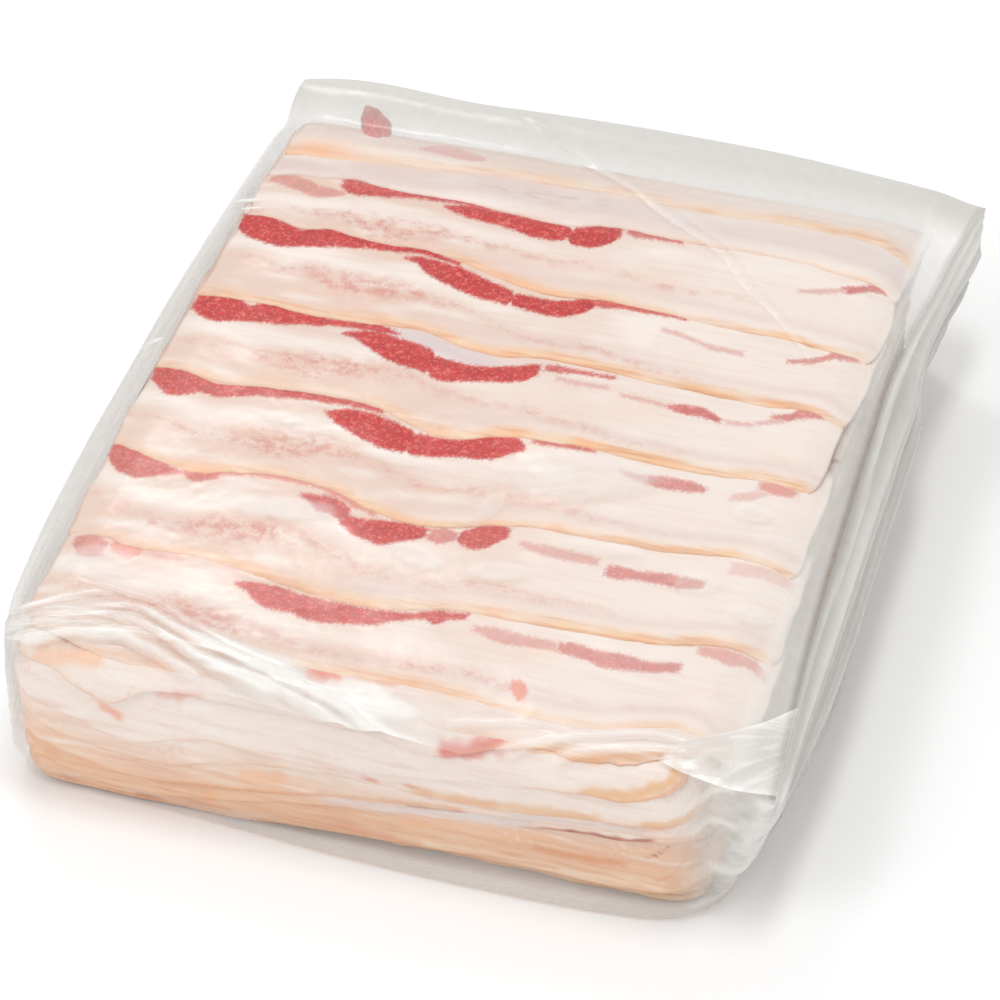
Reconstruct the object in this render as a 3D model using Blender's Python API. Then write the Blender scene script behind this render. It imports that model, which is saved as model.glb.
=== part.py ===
"""A catering pack of sliced bacon: a shingled block of long slices, sealed in a clear side-gusseted bag.

The shut bag is one solid out to its film. Its origin is the centre of the flat base, +X runs along the
slices, +Y runs from the folded front end to the straight crease at the back, and +Z is up. Metres.
"""

import math

import bmesh
import bpy
import numpy as np

# The block of slices inside its film.
BLOCK_LEFT = -0.135
BLOCK_RIGHT = 0.133
BLOCK_FRONT = -0.173
BLOCK_BACK = 0.152
BLOCK_HEIGHT = 0.0655
EDGE_RADIUS = 0.013

# The top layer: slices laid like roof tiles, each one over the slice in front of it.
FIRST_EDGE = -0.153
SLICE_EDGES = 8
SLICE_PITCH = 0.0428
PITCH_LOSS = 0.0013
SLICE_THICKNESS = 0.0022
STEP_WIDTH = 0.0014
WAVE_DEPTH = 0.0035
WAVE_LENGTH = 0.150

# The sides: rounded out by the soft block, with the layers showing as shallow folds.
LEFT_BULGE = 0.0065
RIGHT_BULGE = 0.004
FRONT_LEAN = 0.004
LAYER_FOLD_DEPTH = 0.0005
LAYER_FOLD_PITCH = 0.0110
LAYER_SAG = 0.0030

# The empty film: a crease along the back with an ear at its right end, a puckered ridge along the
# front, a folded gusset down the right edge, and a three-cornered flap over the front right corner.
CREASE_REACH = 0.022
CREASE_HEIGHT = 0.0600
CREASE_SPREAD = 0.0050
EAR_REACH_X = 0.0070
EAR_REACH_Y = 0.0040
EAR_SPREAD = 0.020
RIDGE_HEIGHT = 0.0030
RIDGE_SPREAD = 0.0055
PUCKER_LENGTH = 0.031
GUSSET_FOLDS = 3
GUSSET_WIDTH = 0.018
GUSSET_FOLD_HEIGHT = 0.0012
FLAP_REACH = 0.055
FLAP_THICKNESS = 0.0016

COLUMNS = 22
SIDE_ROWS = 12
ROUND_STEPS = 3

BAG_COLOUR = (0.83, 0.66, 0.57, 1.0)
BAG_ROUGHNESS = 0.25


def clear_scene():
    for thing in list(bpy.data.objects):
        bpy.data.objects.remove(thing, do_unlink=True)


def smooth_step(value, start, end):
    share = np.clip((value - start) / (end - start), 0.0, 1.0)
    return share * share * (3.0 - 2.0 * share)


def bell(value, centre, spread):
    return np.exp(-(((value - centre) / spread) ** 2))


def slice_edge_lines():
    """The front edge of each top slice, front to back, where the slices stand closer towards the back."""
    lines = []
    place = FIRST_EDGE
    for number in range(SLICE_EDGES):
        lines.append(place)
        place += SLICE_PITCH - PITCH_LOSS * number
    return lines


def rounded_ends(low, high, inner_lines):
    """Grid lines from low to high that give each rounded edge equal turns of angle."""
    angles = [math.radians(45.0) * step / (ROUND_STEPS - 1) for step in range(ROUND_STEPS)]
    offsets = [EDGE_RADIUS * math.tan(angle) for angle in angles]
    start = [low + EDGE_RADIUS - offset for offset in reversed(offsets)]
    end = [high - EDGE_RADIUS + offset for offset in offsets]
    return start + [line for line in inner_lines if start[-1] < line < end[0]] + end


def grid_columns():
    low = BLOCK_LEFT + EDGE_RADIUS
    high = BLOCK_RIGHT - GUSSET_WIDTH
    middle = [low + (high - low) * step / COLUMNS for step in range(1, COLUMNS + 1)]
    fold = GUSSET_WIDTH / (2 * GUSSET_FOLDS)
    gusset = [high + fold * step for step in range(1, 2 * GUSSET_FOLDS)]
    return rounded_ends(BLOCK_LEFT, BLOCK_RIGHT, middle + gusset)


def grid_rows():
    """Two lines at each slice's front edge, for its step, and two across the slice."""
    lines = []
    edges = slice_edge_lines()
    for edge, following in zip(edges, edges[1:] + [BLOCK_BACK]):
        lines.append(edge - STEP_WIDTH / 2)
        lines.append(edge + STEP_WIDTH / 2)
        lines.append(edge + (following - edge) * 0.36)
        lines.append(edge + (following - edge) * 0.70)
    return rounded_ends(BLOCK_FRONT, BLOCK_BACK, lines)


def grid_heights():
    low = EDGE_RADIUS
    high = BLOCK_HEIGHT - EDGE_RADIUS
    middle = [low + (high - low) * step / SIDE_ROWS for step in range(1, SIDE_ROWS)]
    return rounded_ends(0.0, BLOCK_HEIGHT, middle)


def grid_shell(columns, rows, heights):
    """The surface points of a box-shaped grid, and the four-sided faces between them, facing out."""
    index = {}
    points = []
    faces = []

    def point(i, j, k):
        if (i, j, k) not in index:
            index[i, j, k] = len(points)
            points.append((columns[i], rows[j], heights[k]))
        return index[i, j, k]

    last_i, last_j, last_k = len(columns) - 1, len(rows) - 1, len(heights) - 1
    for i in range(last_i):
        for j in range(last_j):
            faces.append([point(i, j, 0), point(i, j + 1, 0), point(i + 1, j + 1, 0), point(i + 1, j, 0)])
            faces.append([point(i, j, last_k), point(i + 1, j, last_k),
                          point(i + 1, j + 1, last_k), point(i, j + 1, last_k)])
    for i in range(last_i):
        for k in range(last_k):
            faces.append([point(i, 0, k), point(i + 1, 0, k), point(i + 1, 0, k + 1), point(i, 0, k + 1)])
            faces.append([point(i, last_j, k), point(i, last_j, k + 1),
                          point(i + 1, last_j, k + 1), point(i + 1, last_j, k)])
    for j in range(last_j):
        for k in range(last_k):
            faces.append([point(0, j, k), point(0, j, k + 1), point(0, j + 1, k + 1), point(0, j + 1, k)])
            faces.append([point(last_i, j, k), point(last_i, j + 1, k),
                          point(last_i, j + 1, k + 1), point(last_i, j, k + 1)])
    return np.array(points), faces


def round_block(points):
    """Pulls the box's edges and corners in to one radius, and returns the points and their normals."""
    low = np.array([BLOCK_LEFT, BLOCK_FRONT, 0.0]) + EDGE_RADIUS
    high = np.array([BLOCK_RIGHT, BLOCK_BACK, BLOCK_HEIGHT]) - EDGE_RADIUS
    core = np.clip(points, low, high)
    normals = points - core
    normals /= np.linalg.norm(normals, axis=1)[:, None]
    return core + EDGE_RADIUS * normals, normals


def slice_wave(x):
    """How far a slice's front edge strays from straight, as the slices snake a little."""
    fade = smooth_step(x, BLOCK_LEFT, BLOCK_LEFT + 0.05)
    return WAVE_DEPTH * fade * np.sin(2 * math.pi * (x - 0.015) / WAVE_LENGTH)


def tile_height(x, y):
    """Each slice rises towards its front edge and ends there in a step down onto the next slice.

    The steps die out where the slices stop and the film runs on alone, at both sides and the back.
    """
    edges = slice_edge_lines()
    height = np.zeros_like(y)
    for edge, following in zip(edges, edges[1:] + [BLOCK_BACK + SLICE_PITCH / 2]):
        on_slice = (y > edge) & (y <= following)
        fall = (y - edge - STEP_WIDTH / 2) / (following - edge - STEP_WIDTH)
        height = np.where(on_slice, SLICE_THICKNESS * (1.0 - np.clip(fall, 0.0, 1.0)), height)
    from_left = smooth_step(x, BLOCK_LEFT + 0.3 * EDGE_RADIUS, BLOCK_LEFT + EDGE_RADIUS)
    from_right = 1.0 - smooth_step(x, BLOCK_RIGHT - GUSSET_WIDTH, BLOCK_RIGHT - 0.5 * GUSSET_WIDTH)
    from_back = 1.0 - smooth_step(y, BLOCK_BACK - 2.0 * EDGE_RADIUS, BLOCK_BACK - EDGE_RADIUS)
    return height * from_left * from_right * from_back


def lay_top_slices(points, normals):
    upward = smooth_step(normals[:, 2], 0.35, 0.9)
    points[:, 2] += upward * tile_height(points[:, 0], points[:, 1])
    inside = 1.0 - smooth_step(points[:, 1], BLOCK_BACK - 2.0 * EDGE_RADIUS, BLOCK_BACK - EDGE_RADIUS)
    points[:, 1] += upward * inside * slice_wave(points[:, 0])


def swell_sides(points, normals):
    x, y, z = points.T.copy()
    along = bell(y, -0.055, 0.105)
    upper = smooth_step(z, 0.004, 0.045)
    middle = bell(z, 0.032, 0.022)
    side = normals[:, 0]
    points[:, 0] += np.minimum(side, 0.0) * LEFT_BULGE * along * upper
    points[:, 0] += np.maximum(side, 0.0) * RIGHT_BULGE * middle * bell(y, 0.03, 0.14)
    points[:, 1] -= np.minimum(normals[:, 1], 0.0) * FRONT_LEAN * smooth_step(z, 0.025, BLOCK_HEIGHT)
    sag = LAYER_SAG * (np.sin(2 * math.pi * x / 0.19) + np.sin(2 * math.pi * y / 0.23 + 0.8))
    fold = np.cos(2 * math.pi * (z + sag) / LAYER_FOLD_PITCH) * smooth_step(z, 0.006, 0.012)
    level = np.hypot(normals[:, 0], normals[:, 1])
    points[:, 0] += LAYER_FOLD_DEPTH * fold * normals[:, 0] * level
    points[:, 1] += LAYER_FOLD_DEPTH * fold * normals[:, 1] * level


def pull_back_crease(points):
    x, y, z = points.T.copy()
    at_back = smooth_step(y, BLOCK_BACK - 0.024, BLOCK_BACK - 0.002)
    crease = at_back * bell(z, CREASE_HEIGHT, CREASE_SPREAD)
    points[:, 1] += CREASE_REACH * crease
    ear = crease * smooth_step(x, BLOCK_RIGHT - EAR_SPREAD, BLOCK_RIGHT - 0.002)
    points[:, 0] += EAR_REACH_X * ear
    points[:, 1] += EAR_REACH_Y * ear


def pucker_front(points, normals):
    """The film gathers into a ridge along the front's upper edge, in uneven puckers."""
    x, y, z = points.T.copy()
    upper = smooth_step(z, BLOCK_HEIGHT - EDGE_RADIUS, BLOCK_HEIGHT - 0.3 * EDGE_RADIUS)
    ridge = upper * bell(y, BLOCK_FRONT + 0.55 * EDGE_RADIUS, RIDGE_SPREAD)
    uneven = 0.65 + 0.2 * np.sin(2 * math.pi * x / PUCKER_LENGTH)
    uneven += 0.15 * np.sin(2 * math.pi * x / (0.62 * PUCKER_LENGTH) + 1.0)
    points += (RIDGE_HEIGHT * ridge * uneven)[:, None] * normals


def fold_right_gusset(points, normals):
    x, y, z = points.T.copy()
    upward = smooth_step(normals[:, 2], 0.5, 0.95)
    start = BLOCK_RIGHT - GUSSET_WIDTH
    inside = smooth_step(x, start - 0.003, start + 0.003)
    fold = GUSSET_WIDTH / GUSSET_FOLDS
    points[:, 2] += upward * inside * GUSSET_FOLD_HEIGHT * (0.5 - 0.5 * np.cos(2 * math.pi * (x - start) / fold))


def lay_corner_flap(points, normals):
    """The spare end of the gusset, folded into a triangle that wraps the front right corner."""
    x, y, z = points.T.copy()
    from_corner = (BLOCK_RIGHT - x) + (y - BLOCK_FRONT) + 0.8 * (BLOCK_HEIGHT - z)
    flap = 1.0 - smooth_step(from_corner, FLAP_REACH - 0.008, FLAP_REACH)
    points += (FLAP_THICKNESS * flap)[:, None] * normals


def bag_points(points):
    points, normals = round_block(points)
    base = points[:, 2] < 1e-6
    lay_top_slices(points, normals)
    swell_sides(points, normals)
    pull_back_crease(points)
    pucker_front(points, normals)
    fold_right_gusset(points, normals)
    lay_corner_flap(points, normals)
    points[:, 2] = np.where(base, 0.0, np.maximum(points[:, 2], 0.0))
    centre = (points.min(axis=0) + points.max(axis=0)) / 2
    points[:, :2] -= centre[:2]
    return points


def film_material():
    material = bpy.data.materials.new("bag_film")
    material.use_nodes = True
    shader = material.node_tree.nodes["Principled BSDF"]
    shader.inputs["Base Color"].default_value = BAG_COLOUR
    shader.inputs["Roughness"].default_value = BAG_ROUGHNESS
    shader.inputs["Metallic"].default_value = 0.0
    return material


def make_bag():
    points, faces = grid_shell(grid_columns(), grid_rows(), grid_heights())
    mesh = bpy.data.meshes.new("bacon_bag")
    mesh.from_pydata([tuple(point) for point in bag_points(points)], [], faces)
    shape = bmesh.new()
    shape.from_mesh(mesh)
    bmesh.ops.recalc_face_normals(shape, faces=shape.faces)
    shape.to_mesh(mesh)
    shape.free()
    mesh.materials.append(film_material())
    mesh.shade_smooth()
    mesh.set_sharp_from_angle(angle=math.radians(40.0))
    bag = bpy.data.objects.new("bacon_bag", mesh)
    bpy.context.scene.collection.objects.link(bag)
    return bag


clear_scene()
make_bag()
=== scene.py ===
"""The looks of the bacon pack: long shingled slices of bacon inside a clear, creased film bag.

Lengths below are in millimetres from the middle of the block of slices, +X along the slices, +Y to
the back and +Z up, and become metres in the frame's place when a mesh is made.
"""

import math

import bpy
import numpy as np
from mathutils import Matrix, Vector


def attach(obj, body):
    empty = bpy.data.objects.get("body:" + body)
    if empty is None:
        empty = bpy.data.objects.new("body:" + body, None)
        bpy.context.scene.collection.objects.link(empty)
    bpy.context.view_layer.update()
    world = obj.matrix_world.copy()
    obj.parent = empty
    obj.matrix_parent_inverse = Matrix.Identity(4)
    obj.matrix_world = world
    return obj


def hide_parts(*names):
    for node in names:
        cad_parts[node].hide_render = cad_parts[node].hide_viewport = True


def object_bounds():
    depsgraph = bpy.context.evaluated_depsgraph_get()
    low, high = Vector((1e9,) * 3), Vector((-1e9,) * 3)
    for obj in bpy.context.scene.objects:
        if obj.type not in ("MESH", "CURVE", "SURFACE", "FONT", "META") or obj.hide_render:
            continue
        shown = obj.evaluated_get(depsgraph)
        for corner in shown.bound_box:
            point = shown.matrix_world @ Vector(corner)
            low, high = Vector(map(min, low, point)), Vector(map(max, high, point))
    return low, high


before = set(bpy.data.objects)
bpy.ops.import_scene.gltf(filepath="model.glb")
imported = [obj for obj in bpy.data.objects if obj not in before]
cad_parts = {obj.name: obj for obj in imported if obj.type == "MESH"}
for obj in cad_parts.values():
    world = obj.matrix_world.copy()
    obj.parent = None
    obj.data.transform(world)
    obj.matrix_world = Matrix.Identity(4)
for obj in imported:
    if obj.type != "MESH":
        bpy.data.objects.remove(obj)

CAD_LOW, CAD_HIGH = [list(corner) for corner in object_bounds()]

MM = 0.001
# The block's middle, from the box of the bag: the bag swells out further on its left and at its front.
BLOCK_MIDDLE = (CAD_LOW[0] + 0.1419, CAD_LOW[1] + 0.1751, CAD_LOW[2])


# ------------------------------------------------------------------ numbers and noise

def smooth_step(value, start, end):
    share = np.clip((value - start) / (end - start), 0.0, 1.0)
    return share * share * (3.0 - 2.0 * share)


def bell(value, centre, spread):
    return np.exp(-(((value - centre) / spread) ** 2))


def curve(stations, values, x):
    """A smooth curve through the values at the stations, level where they turn."""
    stations = np.asarray(stations, float)
    values = np.asarray(values, float)
    slopes = np.gradient(values, stations)
    x = np.clip(x, stations[0], stations[-1])
    index = np.clip(np.searchsorted(stations, x) - 1, 0, len(stations) - 2)
    width = stations[index + 1] - stations[index]
    t = (x - stations[index]) / width
    h00 = 2 * t**3 - 3 * t**2 + 1
    h10 = t**3 - 2 * t**2 + t
    h01 = -2 * t**3 + 3 * t**2
    h11 = t**3 - t**2
    return (h00 * values[index] + h10 * width * slopes[index]
            + h01 * values[index + 1] + h11 * width * slopes[index + 1])


def hash_unit(i, j, seed):
    """A number from 0 to 1 for each lattice point, the same in every run."""
    mixed = np.sin(i * 127.1 + j * 311.7 + seed * 74.7) * 43758.5453
    return mixed - np.floor(mixed)


def noise(x, y, seed=0):
    """Smooth gradient noise from about -1 to 1, with one bump to each unit of x and y."""
    x, y = np.broadcast_arrays(np.asarray(x, float), np.asarray(y, float))
    i, j = np.floor(x), np.floor(y)
    u, v = x - i, y - j

    def corner(di, dj):
        angle = 2 * math.pi * hash_unit(i + di, j + dj, seed)
        return np.cos(angle) * (u - di) + np.sin(angle) * (v - dj)

    su, sv = u**3 * (u * (u * 6 - 15) + 10), v**3 * (v * (v * 6 - 15) + 10)
    low = corner(0, 0) * (1 - su) + corner(1, 0) * su
    high = corner(0, 1) * (1 - su) + corner(1, 1) * su
    return 1.4 * (low * (1 - sv) + high * sv)


def layered_noise(x, y, seed=0, octaves=3):
    total = 0.0
    for octave in range(octaves):
        total = total + noise(x * 2**octave, y * 2**octave, seed + 17 * octave) / 2**octave
    return total


def ridged_noise(x, y, seed=0, octaves=3):
    """Sharp crests between smooth hollows, from 0 to about 1, as in crumpled film."""
    total = 0.0
    for octave in range(octaves):
        crest = 1.0 - np.abs(noise(x * 2**octave, y * 2**octave, seed + 31 * octave))
        total = total + crest * crest / 2**octave
    return total / 1.75


# ------------------------------------------------------------------ colours

def colour(red, green, blue):
    """A colour given as it looks on screen, from 0 to 255, as the linear numbers a shader takes."""
    def linear(part):
        part /= 255.0
        return part / 12.92 if part <= 0.04045 else ((part + 0.055) / 1.055) ** 2.4
    return (linear(red), linear(green), linear(blue), 1.0)


FAT = colour(235, 215, 203)
FAT_WHITE = colour(242, 232, 224)
FAT_WARM = colour(237, 208, 186)
FAT_COOL = colour(222, 200, 193)
# Fat darkened as painted shade.
FAT_PAINTED_SHADE = colour(224, 194, 178)
FAT_LINE = colour(222, 186, 168)
PINK = colour(210, 142, 126)
LEAN = colour(200, 22, 24)
LEAN_DARK = colour(146, 10, 16)
LEAN_PALE = colour(232, 136, 122)
LEAN_SOFT = colour(216, 96, 84)
SMOKED = colour(236, 196, 154)
SMOKED_SOFT = colour(228, 178, 134)
SMOKED_DARK = colour(218, 148, 98)
ORANGE = colour(242, 176, 122)
ORANGE_RED = colour(236, 116, 64)
TAN = colour(228, 180, 128)
# Grey painted on the fat as the shade under a slice's edge.
FAT_GREY_SHADE = colour(214, 200, 202)
LILAC = colour(214, 204, 206)
# Purple painted on the fat as the shade under a slice's edge.
PURPLE_SHADE = colour(180, 146, 158)
CREAM = colour(246, 230, 206)


def blend(first, second, share):
    """The mix of two colours, or arrays of them, by share."""
    share = np.clip(np.asarray(share, float), 0.0, 1.0)[..., None]
    return np.asarray(first) * (1.0 - share) + np.asarray(second) * share


def fat_colour(x, y, seed):
    """The uneven cream of the fat."""
    broad = noise(x / 46.0 + seed, y / 20.0, 151) + 0.5 * noise(x / 17.0, y / 8.0 + seed, 152)
    fine = noise(x / 8.0 + seed, y / 3.0, 153)
    skin = blend(FAT, FAT_WARM, 0.75 * smooth_step(broad, 0.1, 1.0))
    skin = blend(skin, FAT_WHITE, 0.9 * smooth_step(-broad, 0.0, 0.9))
    return blend(skin, FAT_COOL, 0.35 * smooth_step(fine, 0.1, 0.9))


# ------------------------------------------------------------------ meshes

def make_piece(name, points, faces, numbers, material):
    """A mesh piece from points in millimetres. numbers are its named values, one for each point."""
    mesh = bpy.data.meshes.new(name)
    placed = np.asarray(points) * MM + np.array(BLOCK_MIDDLE)
    mesh.from_pydata(placed.tolist(), [], faces)
    for key, values in numbers.items():
        values = np.ascontiguousarray(values, dtype=np.float32)
        kind, field = ("FLOAT_COLOR", "color") if values.ndim == 2 else ("FLOAT", "value")
        mesh.attributes.new(key, kind, "POINT").data.foreach_set(field, values.ravel())
    mesh.validate()
    mesh.shade_smooth()
    mesh.materials.append(material)
    piece = bpy.data.objects.new(name, mesh)
    bpy.context.scene.collection.objects.link(piece)
    return piece


class Gathered:
    """Several closed shapes that become one piece."""

    def __init__(self):
        self.points, self.faces, self.numbers, self.count = [], [], {}, 0

    def add(self, points, faces, numbers):
        self.faces += [[corner + self.count for corner in face] for face in faces]
        self.points.append(points)
        for key, values in numbers.items():
            self.numbers.setdefault(key, []).append(values)
        self.count += len(points)

    def piece(self, name, material):
        numbers = {key: np.concatenate(values) for key, values in self.numbers.items()}
        return make_piece(name, np.concatenate(self.points), self.faces, numbers, material)


def tube_faces(stations, ring):
    """Faces of a shape with a closed ring of points at each station, and a flat end at both ends."""
    faces = []
    for i in range(stations - 1):
        for j in range(ring):
            k = (j + 1) % ring
            faces.append([i * ring + j, i * ring + k, (i + 1) * ring + k, (i + 1) * ring + j])
    faces.append([j for j in reversed(range(ring))])
    faces.append([(stations - 1) * ring + j for j in range(ring)])
    return faces


# ------------------------------------------------------------------ the block of slices

BLOCK_TOP = 65.6
THICKNESS = 2.4
TOP_STEP = 1.0
SLICE_WIDTH = 61.0
LEFT_END, RIGHT_END = -135.5, 115.0
FRONT_FACE, BACK_FACE, LOWER_BACK = -166.0, 157.0, 150.0
LEFT_CORNER, FRONT_CORNER, BACK_CORNER = 12.0, 17.0, 9.0

# Where the front edge of a top slice has its points, from its left end to its right.
STATIONS = (-134, -120, -110, -100, -90, -75, -60, -48, -40, -30, -20, -10, 0, 10, 25, 40, 55, 70, 85, 95,
            104, 112, 120)
# The front edge of each top slice, back to front.
EDGES = (
    (130, 130, 131, 132, 133, 134.5, 137, 138.5, 139, 139, 139, 139.5, 140, 139, 138, 138, 139, 139.5, 139,
     138.5, 136.5, 132.5, 127),
    (117, 118, 119, 121, 119.5, 119, 119.5, 118.5, 117.5, 117, 116, 116.5, 119.5, 120, 119, 119, 119, 119,
     117, 114.5, 113.5, 111, 103),
    (91, 89, 85.5, 88.5, 86.5, 85.5, 86.5, 83.5, 81, 78, 75, 73.5, 74, 75.5, 75, 74, 72.5, 72, 72, 70, 69.5,
     69, 66),
    (38.5, 37.5, 38, 37.5, 37, 37.5, 38.5, 39.5, 37, 34, 32.5, 33.5, 35.5, 35.5, 35, 34, 34, 33.5, 33, 34,
     33.5, 30, 28),
    (-5.5, -8.5, -11, -9, -8, -7, -6.5, -8.5, -12, -16, -17.5, -14, -10.5, -10, -9, -10, -11, -10.5, -9.5,
     -8.5, -9.5, -10, -11),
    (-51.5, -57.5, -59.5, -60.5, -57, -54.5, -55, -58, -62, -65, -66, -65, -62, -58, -55.5, -56, -55.5, -55,
     -52.5, -51.5, -52, -53.5, -57),
    (-102, -103, -105, -104.5, -103.5, -105, -108, -110, -111.5, -112, -112, -110.5, -107.5, -105, -105,
     -104.5, -104, -103.5, -101.5, -98.5, -97.5, -98.5, -100),
    (-147, -147, -148, -149, -150, -150, -150, -150, -149.5, -148.5, -148, -147.5, -147, -147, -147.5,
     -149.5, -151, -149.5, -145, -142, -143, -149, -152),
)
# The ninth slice bends over the front, where its edge hangs just below the top.
NINTH_STATIONS = (-132, -110, -60, -20, 27, 70, 86, 98, 113)
NINTH_EDGE = (-150, -157, -159, -160, -161, -160, -158, -153, -148)

# How strongly the smoked edge of each slice is coloured along it, and how wide the colour is.
SMOKE_STATIONS = (-132, -95, -60, -30, 0, 45, 90, 118)
SMOKE = (
    (1.0, 0.7, 0.6, 0.7, 0.4, 0.8, 1.0, 1.0),
    (0.1, 0.1, 0.1, 0.1, 0.1, 0.3, 0.4, 0.3),
    (0.1, 0.1, 0.2, 0.8, 0.8, 0.4, 1.0, 0.2),
    (0.9, 0.8, 0.9, 0.9, 1.0, 0.9, 0.9, 0.9),
    (0.4, 0.4, 0.4, 0.7, 0.9, 1.0, 1.0, 0.8),
    (0.3, 1.0, 0.5, 0.9, 0.8, 0.7, 0.9, 0.6),
    (0.2, 0.5, 0.7, 0.9, 0.5, 0.9, 1.0, 0.8),
    (0.3, 0.3, 0.7, 0.8, 0.8, 0.5, 0.5, 0.4),
    (0.3, 0.3, 0.2, 0.2, 0.3, 0.5, 0.9, 0.9),
)
SMOKE_WIDTH = (4.5, 1.2, 2.4, 3.8, 4.0, 2.8, 3.6, 3.4, 2.4)
# The left and right end of each top slice.
ENDS = ((-131, 120), (-133, 118), (-134, 117), (-135.5, 117), (-136, 114),
        (-136.5, 118), (-136, 121), (-134, 123), (-131, 113))


def turned_back(x, radius, left, right):
    """How far a face has turned away at the block's rounded corners."""
    beyond = np.clip(np.maximum(left + radius - x, x - (right - radius)), 0.0, radius)
    return radius - np.sqrt(np.maximum(radius**2 - beyond**2, 0.0))


def front_face(x, z):
    """The front of the block: upright, rounded over at the top and a little at the foot."""
    top = np.clip(z - 51.0, 0.0, 14.5)
    foot = np.clip(9.0 - z, 0.0, 9.0)
    over = (15.0 - np.sqrt(225.0 - top**2)) + 0.4 * (9.0 - np.sqrt(81.0 - foot**2))
    low_corner = 0.15 * turned_back(x, 30.0, LEFT_END, 400.0) * (1 - smooth_step(z, 1.0, 20.0))
    corners = turned_back(x, LEFT_CORNER, LEFT_END, 400.0) + turned_back(x, FRONT_CORNER, -400.0, RIGHT_END)
    return FRONT_FACE + over + low_corner + corners


def block_top(x, y):
    """The top of the block: nearly level, a little uneven, and lower along its rim."""
    uneven = 0.8 * noise(x / 70 + 3.1, y / 60, 5) + 0.35 * noise(x / 26, y / 22, 9)
    rim = 2.6 * smooth_step(x, 102, 124) + 3.0 * smooth_step(-x, 122, 141)
    rim = rim + 2.6 * smooth_step(y, 140, 158)
    over = np.clip(-151.0 - y, 0.0, 14.5)
    return BLOCK_TOP + uneven - rim - (15.0 - np.sqrt(225.0 - over**2))


def edge_line(number, x):
    """The front edge of top slice number 1 to 9. Slice 0 is the back of the block."""
    if number == 0:
        return np.full_like(x, BACK_FACE - 1.0)
    if number == 9:
        return curve(NINTH_STATIONS, NINTH_EDGE, x) + 0.5 * noise(x / 9.0, 3.3, 21)
    fine = 0.45 * noise(x / 9.0, number * 3.7, 21) + 0.3 * noise(x / 3.1, number * 5.3, 22)
    return curve(STATIONS, EDGES[number - 1], x) + fine


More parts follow.
